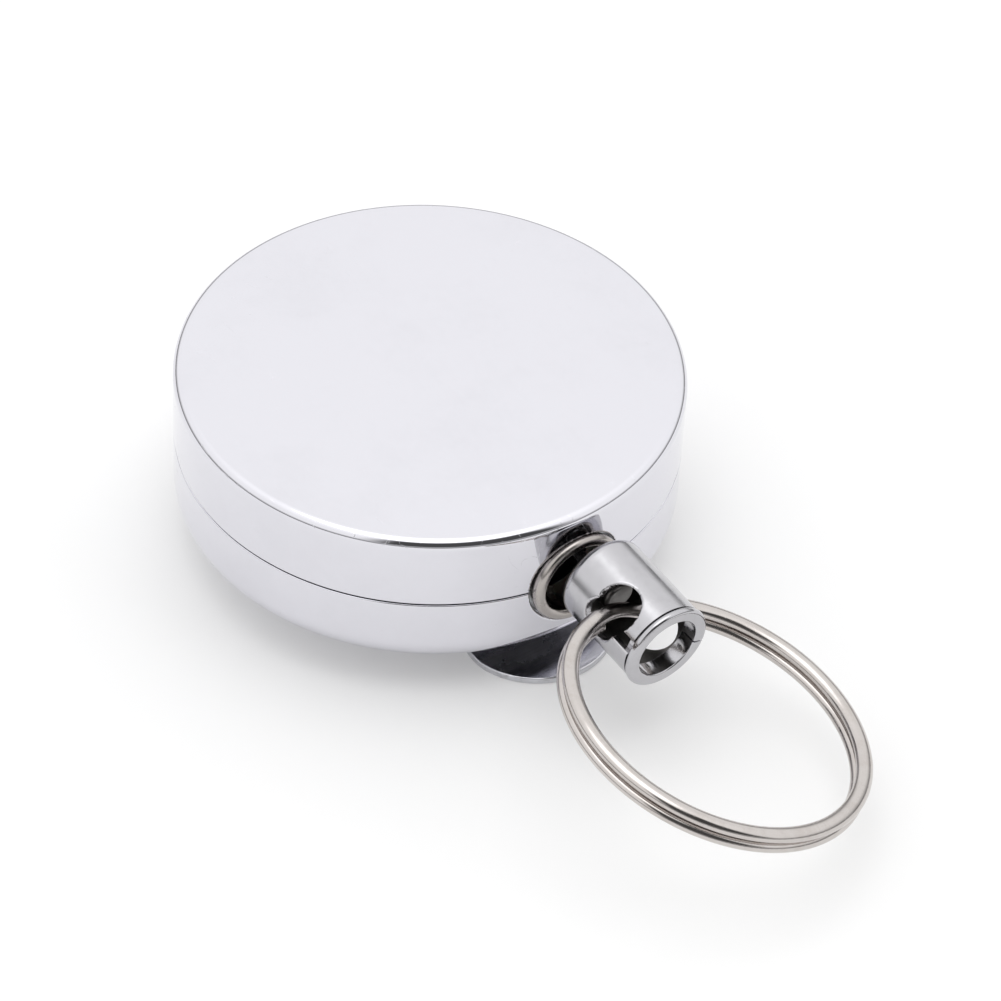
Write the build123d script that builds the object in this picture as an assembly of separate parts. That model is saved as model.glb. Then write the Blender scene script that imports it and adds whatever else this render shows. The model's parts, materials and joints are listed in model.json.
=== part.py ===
"""Retractable badge reel: round metal case, sprung cord spool, tube connector, split ring and belt clip.

Millimetres. +Z is up, through the flat front of the case. The spool turns about Z. The cord leaves
along +X. The origin is on the spool's axis, on the plane that the belt clip rests on.
"""
import math
import os

from build123d import *

# ---- case -------------------------------------------------------------------------------
CASE_RADIUS = 20.0
CASE_WALL = 0.8
BACK_FACE_Z = 2.9            # height of the back cover's outer face over the resting plane
BACK_DEPTH = 6.6             # back cover, from its outer face to the seam
FRONT_DEPTH = 6.4            # front cover, from the seam to its outer face
FRONT_EDGE_RADIUS = 0.75
BACK_EDGE_RADIUS = 2.4
SEAM_GAP = 0.14
RIM_EASE = 0.12              # small rounding on the rims that meet at the seam
BAND_THICKNESS = 0.5
BAND_CLEARANCE = 0.1         # the band ends this far above the back cover's inner round

SEAM_Z = BACK_FACE_Z + BACK_DEPTH
FRONT_FACE_Z = SEAM_Z + FRONT_DEPTH
FLOOR_Z = BACK_FACE_Z + CASE_WALL
CEILING_Z = FRONT_FACE_Z - CASE_WALL
CASE_BORE = CASE_RADIUS - CASE_WALL
BAND_BORE = CASE_BORE - BAND_THICKNESS
BACK_INNER_ROUND = BACK_EDGE_RADIUS - CASE_WALL
BAND_LOW_Z = FLOOR_Z + BACK_INNER_ROUND + BAND_CLEARANCE
BAND_HIGH_Z = 2 * SEAM_Z - BAND_LOW_Z

# ---- outlet eyelet ----------------------------------------------------------------------
EYELET_BORE = 3.0
EYELET_WALL = 0.4
EYELET_NECK = 0.3            # the seat behind the lip stands this far over the barrel
LIP_RIM = 0.25               # the lip stands this far over its seat
LIP_THICKNESS = 0.85
LIP_PROUD = 0.45             # the lip stands this far out of the case
LIP_ROUND = 0.41
LIP_BACK_ROUND = 0.2
OUTLET_GAP = 0.12            # ring of space between the lip and the covers' opening
BARREL_FIT = 0.05
WASHER_THICKNESS = 0.5
WASHER_RIM = 1.1
SWAGE_THICKNESS = 0.4
SWAGE_RIM = 0.5
WASHER_SEAT_GAP = 0.02

BARREL_RADIUS = EYELET_BORE + EYELET_WALL
NECK_RADIUS = BARREL_RADIUS + EYELET_NECK
LIP_RADIUS = NECK_RADIUS + LIP_RIM
SEAT_X = CASE_BORE            # the seat bears on the joining band
LIP_FRONT_X = CASE_RADIUS + LIP_PROUD
LIP_BACK_X = LIP_FRONT_X - LIP_THICKNESS
OUTLET_RADIUS = LIP_RADIUS + OUTLET_GAP
EYELET_WASHER_RADIUS = BARREL_RADIUS + WASHER_RIM
WASHER_FRONT_X = math.sqrt(BAND_BORE**2 - EYELET_WASHER_RADIUS**2) - WASHER_SEAT_GAP
WASHER_BACK_X = WASHER_FRONT_X - WASHER_THICKNESS
BARREL_BACK_X = WASHER_BACK_X - SWAGE_THICKNESS

# ---- post, washers and retaining ring ---------------------------------------------------
POST_RADIUS = 2.0
POST_FLANGE_RADIUS = 4.0
POST_FLANGE_HEIGHT = 0.8
POST_SPIGOT_RADIUS = 1.5
POST_SLOT_WIDTH = 0.45
POST_NECK_RADIUS = 1.5
POST_TOP_GAP = 0.2
THRUST_WASHER_RADIUS = 4.5
THRUST_WASHER_THICKNESS = 0.4
WASHER_BORE_FIT = 0.06
END_FLOAT = 0.06             # running clearance between faces that slide on each other
RETAINER_RADIUS = 3.4
RETAINER_THICKNESS = 0.4
RETAINER_MOUTH = 2.4

# ---- spool ------------------------------------------------------------------------------
SPOOL_BORE_FIT = 0.08
DRUM_RADIUS = 10.4
DRUM_WALL = 0.8
WEB_THICKNESS = 1.0
FLANGE_RADIUS = 16.0
FLANGE_THICKNESS = 1.0
SPOOL_HEADROOM = 3.4         # depth inside the case that the spool's drum leaves to the pieces round it
SPRING_COVER_THICKNESS = 0.8
SPRING_COVER_SPIGOT = 0.3
SPIGOT_FIT = 0.05
WINDOW_RADIUS = 1.6
WINDOW_CIRCLE = 6.8          # radius at which the web's windows lie
WINDOW_COUNT = 6
HOOK_SLOT_WIDTH = 0.5
HOOK_DEPTH = 0.5              # depth of the spring's slot in the drum's inner wall
HOOK_SPACE = 0.08

DRUM_BORE = DRUM_RADIUS - DRUM_WALL
SPOOL_HEIGHT = CEILING_Z - FLOOR_Z - SPOOL_HEADROOM
LOWER_WASHER_Z = FLOOR_Z + POST_FLANGE_HEIGHT
SPOOL_Z = LOWER_WASHER_Z + THRUST_WASHER_THICKNESS + END_FLOAT
WEB_TOP_Z = SPOOL_Z + WEB_THICKNESS
DRUM_TOP_Z = SPOOL_Z + SPOOL_HEIGHT
SPRING_COVER_TOP_Z = DRUM_TOP_Z + SPRING_COVER_THICKNESS
UPPER_WASHER_Z = SPRING_COVER_TOP_Z + END_FLOAT
RETAINER_Z = UPPER_WASHER_Z + THRUST_WASHER_THICKNESS
POST_TOP_Z = CEILING_Z - POST_TOP_GAP

# ---- cord -------------------------------------------------------------------------------
CORD_RADIUS = 0.45
TURN_PITCH = 1.0
TURNS_PER_LAYER = 3
LAYER_PITCH = 0.8
LAYER_COUNT = 3
CORD_BEND_RADIUS = 3.0
CORD_SPACE = 0.12            # free space round the cord where it passes another piece
KNOT_RADIUS = 1.0
CORD_EXIT_Y = 0.93
CORD_RISE = 1.0              # the cord runs in the top turn's plane, this far over the seam
CORD_JOIN_DEPTH = 0.6        # the fixed run ends and the moving lead starts this far behind the lip
JOIN_GAP = 0.05

CORD_Z = SEAM_Z + CORD_RISE
CORD_JOIN_X = LIP_BACK_X - CORD_JOIN_DEPTH
GROOVE_HALF = TURN_PITCH * TURNS_PER_LAYER / 2 + CORD_SPACE
GROOVE_LOW_Z = SEAM_Z - GROOVE_HALF
GROOVE_HIGH_Z = SEAM_Z + GROOVE_HALF
WINDING_RADIUS = DRUM_RADIUS + 2 * CORD_RADIUS + LAYER_PITCH * (LAYER_COUNT - 1)
RUN_RADIUS = WINDING_RADIUS + CORD_RADIUS + CORD_SPACE

# ---- power spring -----------------------------------------------------------------------
STRIP_THICKNESS = 0.2
STRIP_HEIGHT = 6.0
COIL_PITCH = 0.56
COIL_INNER_SPACE = 0.6       # from the post to the middle of the inner coil
COIL_SPACE = 0.25            # space between the outer coil and the drum

COIL_INNER_RADIUS = POST_RADIUS + COIL_INNER_SPACE

# ---- connector --------------------------------------------------------------------------
CONNECTOR_RADIUS = 3.58
CONNECTOR_LENGTH = 9.1
CONNECTOR_WALL = 0.63
CONNECTOR_END_WALL = 1.3
CONNECTOR_ROUND = 0.9
CORD_HOLE_RADIUS = 0.8
CONNECTOR_GAP = 0.7          # space between the eyelet's lip and the connector
DROOP = 4.35                 # degrees that the connector hangs below level
YAW = 0.85                   # degrees that it turns towards +Y
CROSS_HOLE_RADIUS = 1.88
CROSS_HOLE_AT = 5.5
CROSS_HOLE_ROLL = 43.0       # degrees from upright, towards -Y
SLOT_WIDTH = 1.1
SLOT_ROLL = 67.0
COLLAR_RIM = 0.1             # the collar's flange stands this far over the tube
COLLAR_WALL = 0.33
COLLAR_FLANGE = 0.62
COLLAR_SPIGOT = 0.75
COLLAR_ROUND = 0.28
COLLAR_GAP = 0.06
COLLAR_SLIT = 0.22
COLLAR_SLIT_ROLL = 254.0
CRIMP_RADIUS = 1.35
CRIMP_LENGTH = 1.7
CRIMP_GAP = 0.06
CRIMP_ROUND = 0.35

CONNECTOR_BORE = CONNECTOR_RADIUS - CONNECTOR_WALL
COLLAR_RADIUS = CONNECTOR_RADIUS + COLLAR_RIM
COLLAR_BORE = CONNECTOR_BORE - COLLAR_WALL

# ---- split ring -------------------------------------------------------------------------
RING_RADIUS = 12.5
RING_WIDTH = 1.34
COIL_HEIGHT = 1.02
RING_ROUND = 0.28
COIL_GROOVE = 0.1
COIL_GROOVE_DEPTH = 0.3
RING_END_GAP = 0.5
RING_END_ANGLES = (-15.0, 15.0)   # where each coil's wire ends meet, in degrees from the connector
RING_NORMAL = Vector(0.132, 0.314, 0.94)
RING_AT = 4.8                # where the ring's swing axis crosses the connector's axis
RING_SWERVE = 3.9            # degrees that the ring lies turned towards -Y in its hole
SWING_BORE_FIT = 0.43        # space between the wire's corners and its hole in the connector

RING_MEAN_RADIUS = RING_RADIUS - RING_WIDTH / 2
SWING_BORE_RADIUS = math.hypot(RING_WIDTH / 2, COIL_HEIGHT) + SWING_BORE_FIT

# ---- belt clip --------------------------------------------------------------------------
CLIP_WIDTH = 12.6
CLIP_THICKNESS = 0.6
CLIP_BEND_X = -18.0
CLIP_BASE_END_X = 9.0
CLIP_TIP_X = 21.4
CLIP_TIP_RADIUS = 6.2
CLIP_RIDGE_X = 12.5
CLIP_RIDGE_RISE = 0.95
CLIP_RIDGE_LENGTH = 9.0
CLIP_SPLIT_GAP = 0.05
CLIP_CORNER = 2.5
RIVET_POSITIONS = (-8.5, 6.0)
RIVET_SHANK_RADIUS = 1.0
RIVET_HEAD_RADIUS = 1.7
RIVET_HEAD_HEIGHT = 0.5
RIVET_BORE_RADIUS = 0.5
RIVET_ROUND = 0.3

CLIP_BASE_Z = BACK_FACE_Z - CLIP_THICKNESS
CLIP_BEND_RADIUS = BACK_FACE_Z / 2

# ---- working values -----------------------------------------------------------------------
OVERCUT = 1.0                # cutting tools run this far past what they cut
TOLERANCE = 1e-3             # edges are found by their place to within this


def disc(radius, low, high, x=0.0, y=0.0):
    """Upright cylinder between two heights."""
    return Pos(x, y, low) * Cylinder(radius, high - low, align=(Align.CENTER, Align.CENTER, Align.MIN))


def ring(outer, inner, low, high):
    """Upright ring between two heights."""
    return disc(outer, low, high) - disc(inner, low, high)


def bar_along_x(radius, start, end, y=0.0, z=0.0):
    """Cylinder that lies along X."""
    bar = Cylinder(radius, end - start, align=(Align.CENTER, Align.CENTER, Align.MIN))
    return Pos(start, y, z) * Rot(0, 90, 0) * bar


def block(x0, x1, y0, y1, z0, z1):
    """Box between two corners."""
    size = Box(x1 - x0, y1 - y0, z1 - z0, align=(Align.MIN, Align.MIN, Align.MIN))
    return Pos(x0, y0, z0) * size


def edges_at(shape, height, radius):
    """Round edges of a shape at one height and radius."""
    found = shape.edges().filter_by(GeomType.CIRCLE)
    return [e for e in found if abs(e.center().Z - height) < TOLERANCE and abs(e.radius - radius) < TOLERANCE]


def outlet_opening():
    """Round opening for the eyelet's lip, along X through the wall at the seam."""
    return bar_along_x(OUTLET_RADIUS, BAND_BORE - CASE_WALL, CASE_RADIUS + CASE_WALL, 0, SEAM_Z)


def make_front_cover():
    """Drawn cup that opens downwards."""
    rim = SEAM_Z + SEAM_GAP / 2
    cup = disc(CASE_RADIUS, rim, FRONT_FACE_Z) - disc(CASE_BORE, rim, CEILING_Z)
    cup = fillet(edges_at(cup, FRONT_FACE_Z, CASE_RADIUS), FRONT_EDGE_RADIUS)
    cup = fillet(edges_at(cup, rim, CASE_RADIUS), RIM_EASE)
    return cup - outlet_opening()


def make_back_cover():
    """Drawn cup that opens upwards, with holes for the post and the clip's rivets."""
    rim = SEAM_Z - SEAM_GAP / 2
    cavity = disc(CASE_BORE, FLOOR_Z, rim)
    cavity = fillet(edges_at(cavity, FLOOR_Z, CASE_BORE), BACK_INNER_ROUND)
    cup = disc(CASE_RADIUS, BACK_FACE_Z, rim)
    cup = fillet(edges_at(cup, BACK_FACE_Z, CASE_RADIUS), BACK_EDGE_RADIUS)
    cup = fillet(edges_at(cup, rim, CASE_RADIUS), RIM_EASE)
    cup -= cavity
    cup -= disc(POST_SPIGOT_RADIUS, BACK_FACE_Z, FLOOR_Z)
    for x in RIVET_POSITIONS:
        cup -= disc(RIVET_SHANK_RADIUS, BACK_FACE_Z, FLOOR_Z, x)
    return cup - outlet_opening()


def make_joining_band():
    """Thin band inside both covers that holds them together and carries the eyelet."""
    band = ring(CASE_BORE, BAND_BORE, BAND_LOW_Z, BAND_HIGH_Z)
    return band - bar_along_x(BARREL_RADIUS + BARREL_FIT, 0, CASE_RADIUS, 0, SEAM_Z)


def spun_about_outlet(face):
    """Turn a profile drawn on the XZ plane, with the outlet's axis at Z = 0, into a solid at the seam."""
    return Pos(0, 0, SEAM_Z) * revolve(face, Axis.X, 360)


def make_outlet_eyelet():
    """Bell-mouthed bush: rolled lip outside, thin barrel, and an end swaged over its washer."""
    swage_radius = BARREL_RADIUS + SWAGE_RIM
    outline = (
        (BARREL_BACK_X, EYELET_BORE), (LIP_FRONT_X, EYELET_BORE),
        (LIP_FRONT_X, LIP_RADIUS), (LIP_BACK_X, LIP_RADIUS),
        (LIP_BACK_X, NECK_RADIUS), (SEAT_X, NECK_RADIUS),
        (SEAT_X, BARREL_RADIUS), (WASHER_BACK_X, BARREL_RADIUS),
        (WASHER_BACK_X, swage_radius), (BARREL_BACK_X, swage_radius),
    )
    bush = spun_about_outlet(make_face(Plane.XZ * Polyline(*outline, close=True)))
    rims = bush.edges().filter_by(GeomType.CIRCLE)
    front = [e for e in rims if abs(e.center().X - LIP_FRONT_X) < TOLERANCE]
    bush = fillet(front, LIP_ROUND)
    rims = bush.edges().filter_by(GeomType.CIRCLE)
    outermost = [e for e in rims if e.radius > LIP_RADIUS - TOLERANCE]
    back = [e for e in outermost if abs(e.center().X - LIP_BACK_X) < TOLERANCE]
    return fillet(back, LIP_BACK_ROUND)


def make_eyelet_washer():
    """Flat washer behind the band, under the eyelet's swaged end."""
    outer = bar_along_x(EYELET_WASHER_RADIUS, WASHER_BACK_X, WASHER_FRONT_X, 0, SEAM_Z)
    return outer - bar_along_x(BARREL_RADIUS, WASHER_BACK_X, WASHER_FRONT_X, 0, SEAM_Z)


def make_centre_post():
    """Fixed axle: flange on the case floor, spigot through it, slot for the spring, neck for the ring."""
    post = disc(POST_RADIUS, FLOOR_Z, POST_TOP_Z) + disc(POST_FLANGE_RADIUS, FLOOR_Z, LOWER_WASHER_Z)
    post += disc(POST_SPIGOT_RADIUS, BACK_FACE_Z, FLOOR_Z)
    neck_top = RETAINER_Z + RETAINER_THICKNESS + END_FLOAT
    post -= ring(POST_RADIUS + OVERCUT, POST_NECK_RADIUS, RETAINER_Z, neck_top)
    half = POST_SLOT_WIDTH / 2
    return post - block(-POST_RADIUS, POST_RADIUS, -half, half, WEB_TOP_Z, DRUM_TOP_Z - SPRING_COVER_SPIGOT)


def thrust_washer(low):
    """Flat washer that the spool slides on."""
    return ring(THRUST_WASHER_RADIUS, POST_RADIUS + WASHER_BORE_FIT, low, low + THRUST_WASHER_THICKNESS)


def make_retaining_ring():
    """Push-on ring with an open mouth, in the post's neck."""
    low, high = RETAINER_Z, RETAINER_Z + RETAINER_THICKNESS
    clip = ring(RETAINER_RADIUS, POST_NECK_RADIUS, low, high)
    mouth = RETAINER_MOUTH / 2
    return clip - block(0, RETAINER_RADIUS + OVERCUT, -mouth, mouth, low, high)


def make_spool():
    """Drum with a web, two flanges for the cord's groove, and a slot for the spring's outer hook."""
    bore = POST_RADIUS + SPOOL_BORE_FIT
    spool = ring(DRUM_RADIUS, DRUM_BORE, SPOOL_Z, DRUM_TOP_Z) + ring(DRUM_RADIUS, bore, SPOOL_Z, WEB_TOP_Z)
    spool += ring(FLANGE_RADIUS, DRUM_BORE, GROOVE_LOW_Z - FLANGE_THICKNESS, GROOVE_LOW_Z)
    spool += ring(FLANGE_RADIUS, DRUM_BORE, GROOVE_HIGH_Z, GROOVE_HIGH_Z + FLANGE_THICKNESS)
    for window in range(WINDOW_COUNT):
        angle = 2 * math.pi * window / WINDOW_COUNT
        x = WINDOW_CIRCLE * math.cos(angle)
        y = WINDOW_CIRCLE * math.sin(angle)
        spool -= disc(WINDOW_RADIUS, SPOOL_Z, WEB_TOP_Z, x, y)
    half = HOOK_SLOT_WIDTH / 2
    spool -= block(DRUM_BORE - OVERCUT, DRUM_BORE + HOOK_DEPTH, -half, half, WEB_TOP_Z, DRUM_TOP_Z)
    hole = CORD_RADIUS + CORD_SPACE
    return spool - disc(hole, GROOVE_LOW_Z - FLANGE_THICKNESS, GROOVE_LOW_Z, -knot_circle())


def knot_circle():
    """Radius at which the cord's inner end goes down through the lower flange."""
    return DRUM_RADIUS + KNOT_RADIUS + CORD_SPACE


def make_spring_cover():
    """Disc that closes the spring's drum, with a shallow spigot inside its rim."""
    bore = POST_RADIUS + SPOOL_BORE_FIT
    lid = ring(DRUM_RADIUS, bore, DRUM_TOP_Z, SPRING_COVER_TOP_Z)
    return lid + ring(DRUM_BORE - SPIGOT_FIT, bore, DRUM_TOP_Z - SPRING_COVER_SPIGOT, DRUM_TOP_Z)


def make_power_spring():
    """Flat spiral strip made of half turns about two centres, with a hook at each end on the X axis."""
    low = WEB_TOP_Z + (DRUM_TOP_Z - SPRING_COVER_SPIGOT - WEB_TOP_Z - STRIP_HEIGHT) / 2
    high = low + STRIP_HEIGHT
    half = STRIP_THICKNESS / 2
    shift = COIL_PITCH / 4
    reach = DRUM_BORE - COIL_SPACE
    turns = int((reach - half - shift - COIL_INNER_RADIUS) / COIL_PITCH)
    inner_end = COIL_INNER_RADIUS - shift
    outer_end = inner_end + turns * COIL_PITCH
    strip = block(POST_RADIUS / 2, inner_end + half, -half, half, low, high)
    strip += block(outer_end - half, DRUM_BORE + HOOK_DEPTH - HOOK_SPACE, -half, half, low, high)
    radius = COIL_INNER_RADIUS
    for turn in range(turns):
        for centre, y0, y1 in ((-shift, 0, reach), (shift, -reach, 0)):
            arc = ring(radius + half, radius - half, low, high)
            strip += Pos(centre, 0, 0) * (arc & block(-reach, reach, y0, y1, low, high))
            radius += COIL_PITCH / 2
    return strip


def make_cord_winding():
    """Turns of cord in the groove: one solid whose outside shows each turn of the top layer."""
    half = TURN_PITCH * TURNS_PER_LAYER / 2
    core = WINDING_RADIUS - CORD_RADIUS
    winding = ring(core, DRUM_RADIUS, SEAM_Z - half, SEAM_Z + half)
    for turn in range(TURNS_PER_LAYER):
        z = SEAM_Z - half + TURN_PITCH * (turn + 0.5)
        winding += Pos(0, 0, z) * Torus(core, CORD_RADIUS)
    return winding


def make_cord_knot():
    """Knot under the lower flange, with the tail that comes down through it."""
    top = GROOVE_LOW_Z - FLANGE_THICKNESS
    x = -knot_circle()
    knot = Pos(x, 0, top - KNOT_RADIUS) * Sphere(KNOT_RADIUS)
    return knot + disc(CORD_RADIUS, top - KNOT_RADIUS, GROOVE_LOW_Z, x)


def cord_tube(points, radii):
    """Tube along straight runs joined by tangent arcs."""
    path = FilletPolyline(*points, radius=radii)
    start = Plane(origin=path @ 0, z_dir=path % 0)
    return sweep(start * Circle(CORD_RADIUS), path=path)


def make_cord_run():
    """Fixed run of cord inside the case, from the winding's edge to the eyelet."""
    bend_x = WASHER_FRONT_X
    reach = math.hypot(bend_x, CORD_EXIT_Y)
    turn = math.atan2(CORD_EXIT_Y, bend_x) + math.acos(RUN_RADIUS / reach)
    leaves = (RUN_RADIUS * math.cos(turn), RUN_RADIUS * math.sin(turn), CORD_Z)
    bend = (bend_x, CORD_EXIT_Y, CORD_Z)
    join = (CORD_JOIN_X, CORD_EXIT_Y, CORD_Z)
    return cord_tube((leaves, bend, join), CORD_BEND_RADIUS / 2)


def connector_place():
    """Frame on the connector's axis: Z runs to its open end, X is upright, the origin is its reel end."""
    droop = math.radians(DROOP)
    yaw = math.radians(YAW)
    out = Vector(math.cos(droop) * math.cos(yaw), math.cos(droop) * math.sin(yaw), -math.sin(droop))
    up = Vector(0, 0, 1) - out * out.Z
    origin = Vector(LIP_FRONT_X + CONNECTOR_GAP, CORD_EXIT_Y, CORD_Z)
    return Plane(origin=origin, x_dir=up, z_dir=out)


def ring_place():
    """Frame at the ring's centre, Z along its axis, X back towards the connector."""
    frame = connector_place()
    pivot = frame.origin + frame.z_dir * RING_AT
    normal = RING_NORMAL.normalized()
    out = (frame.z_dir - normal * frame.z_dir.dot(normal)).normalized()
    swerve = math.radians(RING_SWERVE)
    out = out * math.cos(swerve) - normal.cross(out) * math.sin(swerve)
    half_chord = (CONNECTOR_RADIUS + CONNECTOR_BORE) / 2
    sagitta = RING_MEAN_RADIUS - math.sqrt(RING_MEAN_RADIUS**2 - half_chord**2)
    centre = pivot + out * (RING_MEAN_RADIUS - sagitta / 2)
    return Plane(origin=centre, x_dir=out * -1, z_dir=normal), pivot


def rolled(shape, roll, at):
    """Turn a shape that lies along the connector frame's X to a roll angle, at a distance along its axis."""
    return Pos(0, 0, at) * Rot(0, 0, roll) * shape


def cross_bar(radius):
    """Long bar through the connector, along its frame's X."""
    return bar_along_x(radius, -2 * CONNECTOR_RADIUS, 2 * CONNECTOR_RADIUS)


def tube_length():
    """Length of the connector's tube, up to the gap behind the collar's flange."""
    return CONNECTOR_LENGTH - COLLAR_FLANGE - COLLAR_GAP


def swing_roll():
    """Roll angle of the ring's swing axis in the connector's frame."""
    frame = connector_place()
    ring_frame, _ = ring_place()
    swing = ring_frame.y_dir
    return math.degrees(math.atan2(swing.dot(frame.y_dir), swing.dot(frame.x_dir)))


def make_connector_body():
    """Tube with a closed, rounded reel end, a cross hole for the ring and a slot from it to the rim."""
    end = tube_length()
    tube = disc(CONNECTOR_RADIUS, 0, end)
    tube = fillet(edges_at(tube, 0, CONNECTOR_RADIUS), CONNECTOR_ROUND)
    tube -= disc(CONNECTOR_BORE, CONNECTOR_END_WALL, end)
    tube -= disc(CORD_HOLE_RADIUS, 0, CONNECTOR_END_WALL)
    tube -= rolled(cross_bar(CROSS_HOLE_RADIUS), CROSS_HOLE_ROLL, CROSS_HOLE_AT)
    tube -= rolled(cross_bar(SWING_BORE_RADIUS), swing_roll(), RING_AT)
    half = SLOT_WIDTH / 2
    slot = block(CONNECTOR_BORE / 2, CONNECTOR_RADIUS + OVERCUT, -half, half, 0, end - CROSS_HOLE_AT)
    tube -= rolled(slot, SLOT_ROLL, CROSS_HOLE_AT)
    return connector_place() * tube


def make_connector_collar():
    """Flanged ring pressed into the tube's open end, with a fine slit right through it."""
    end = tube_length()
    flange = ring(COLLAR_RADIUS, COLLAR_BORE, end + COLLAR_GAP, CONNECTOR_LENGTH)
    for z in (end + COLLAR_GAP, CONNECTOR_LENGTH):
        flange = fillet(edges_at(flange, z, COLLAR_RADIUS), COLLAR_ROUND)
    flange = fillet(edges_at(flange, CONNECTOR_LENGTH, COLLAR_BORE), COLLAR_ROUND / 2)
    collar = flange + ring(CONNECTOR_BORE, COLLAR_BORE, end - COLLAR_SPIGOT, end + COLLAR_GAP)
    half = COLLAR_SLIT / 2
    low = end - COLLAR_SPIGOT
    slit = block(COLLAR_BORE / 2, COLLAR_RADIUS + OVERCUT, -half, half, 0, CONNECTOR_LENGTH - low)
    collar -= rolled(slit, COLLAR_SLIT_ROLL, low)
    return connector_place() * collar


def make_cord_crimp():
    """Crimped stop on the cord's end, inside the connector, too wide for the cord's hole."""
    low = CONNECTOR_END_WALL + CRIMP_GAP
    stop = disc(CRIMP_RADIUS, low, low + CRIMP_LENGTH)
    ends = edges_at(stop, low, CRIMP_RADIUS) + edges_at(stop, low + CRIMP_LENGTH, CRIMP_RADIUS)
    return connector_place() * fillet(ends, CRIMP_ROUND)


def make_cord_lead():
    """Moving end of the cord, from the eyelet to the face of the crimp."""
    frame = connector_place()
    kink = frame.origin
    end = kink + frame.z_dir * (CONNECTOR_END_WALL + CRIMP_GAP)
    start = Vector(CORD_JOIN_X + JOIN_GAP, CORD_EXIT_Y, CORD_Z)
    return cord_tube((start, kink, end), CORD_BEND_RADIUS)


def make_split_ring():
    """Two coils of flat wire, one on the other, with a groove between them and a gap at each wire end."""
    inner = RING_RADIUS - RING_WIDTH
    body = ring(RING_RADIUS, inner, -COIL_HEIGHT, COIL_HEIGHT)
    rims = []
    for z in (-COIL_HEIGHT, COIL_HEIGHT):
        rims += edges_at(body, z, RING_RADIUS) + edges_at(body, z, inner)
    body = fillet(rims, RING_ROUND)
    half = COIL_GROOVE / 2
    body -= ring(RING_RADIUS + OVERCUT, RING_RADIUS - COIL_GROOVE_DEPTH, -half, half)
    body -= ring(inner + COIL_GROOVE_DEPTH, inner - OVERCUT, -half, half)
    gap = RING_END_GAP / 2
    for angle, low in zip(RING_END_ANGLES, (0, -COIL_HEIGHT)):
        cut = block(inner - OVERCUT, RING_RADIUS + OVERCUT, -gap, gap, low, low + COIL_HEIGHT)
        body -= Rot(0, 0, angle) * cut
    frame, _ = ring_place()
    return frame * body


def make_clip_base():
    """Upper leg of the belt clip, flat against the back cover, with two rivet holes."""
    half = CLIP_WIDTH / 2
    leg = block(CLIP_BEND_X, CLIP_BASE_END_X, -half, half, CLIP_BASE_Z, BACK_FACE_Z)
    corners = [e for e in leg.edges().filter_by(Axis.Z) if e.center().X > 0]
    leg = fillet(corners, CLIP_CORNER)
    for x in RIVET_POSITIONS:
        leg -= disc(RIVET_SHANK_RADIUS, CLIP_BASE_Z, BACK_FACE_Z, x)
    return leg


def clip_centre_line():
    """Lower leg's centre line, drawn as X and height: end bend, flat, raised ridge, and flat tip."""
    mid = CLIP_THICKNESS / 2
    start = CLIP_BEND_X - CLIP_SPLIT_GAP
    bend_radius = CLIP_BEND_RADIUS - mid
    ridge_start = (CLIP_RIDGE_X - CLIP_RIDGE_LENGTH / 2, mid)
    ridge_end = (CLIP_RIDGE_X + CLIP_RIDGE_LENGTH / 2, mid)
    crest = (CLIP_RIDGE_X, mid + CLIP_RIDGE_RISE)
    along = (1, 0)
    bend = ThreePointArc((start, BACK_FACE_Z - mid), (start - bend_radius, CLIP_BEND_RADIUS), (start, mid))
    flat = Line((start, mid), ridge_start)
    ridge = Spline(ridge_start, crest, ridge_end, tangents=(along, along))
    tip = Line(ridge_end, (CLIP_TIP_X, mid))
    return bend + flat + ridge + tip


def make_clip_tongue():
    """Lower leg of the belt clip with its end bend: a strip of even thickness with a round tip."""
    half = CLIP_WIDTH / 2
    section = Plane.XZ * trace(clip_centre_line(), line_width=CLIP_THICKNESS)
    strip = extrude(section, amount=half, both=True)
    tip_centre = CLIP_TIP_X - CLIP_TIP_RADIUS
    low, high = -OVERCUT, BACK_FACE_Z + OVERCUT
    plan = block(CLIP_BEND_X - BACK_FACE_Z, tip_centre, -half, half, low, high)
    plan += disc(CLIP_TIP_RADIUS, low, high, tip_centre)
    return strip & plan


def make_clip_rivets():
    """Tubular rivets through the clip's upper leg and the back cover."""
    rivets = []
    for x in RIVET_POSITIONS:
        low = CLIP_BASE_Z - RIVET_HEAD_HEIGHT
        high = FLOOR_Z + RIVET_HEAD_HEIGHT
        body = disc(RIVET_SHANK_RADIUS, CLIP_BASE_Z, FLOOR_Z, x)
        lower = disc(RIVET_HEAD_RADIUS, low, CLIP_BASE_Z, x)
        lower = fillet(edges_at(lower, low, RIVET_HEAD_RADIUS), RIVET_ROUND)
        upper = disc(RIVET_HEAD_RADIUS, FLOOR_Z, high, x)
        upper = fillet(edges_at(upper, high, RIVET_HEAD_RADIUS), RIVET_ROUND)
        body = body + lower + upper
        rivets.append(body - disc(RIVET_BORE_RADIUS, BACK_FACE_Z, high, x))
    return Compound(children=rivets)


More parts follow.
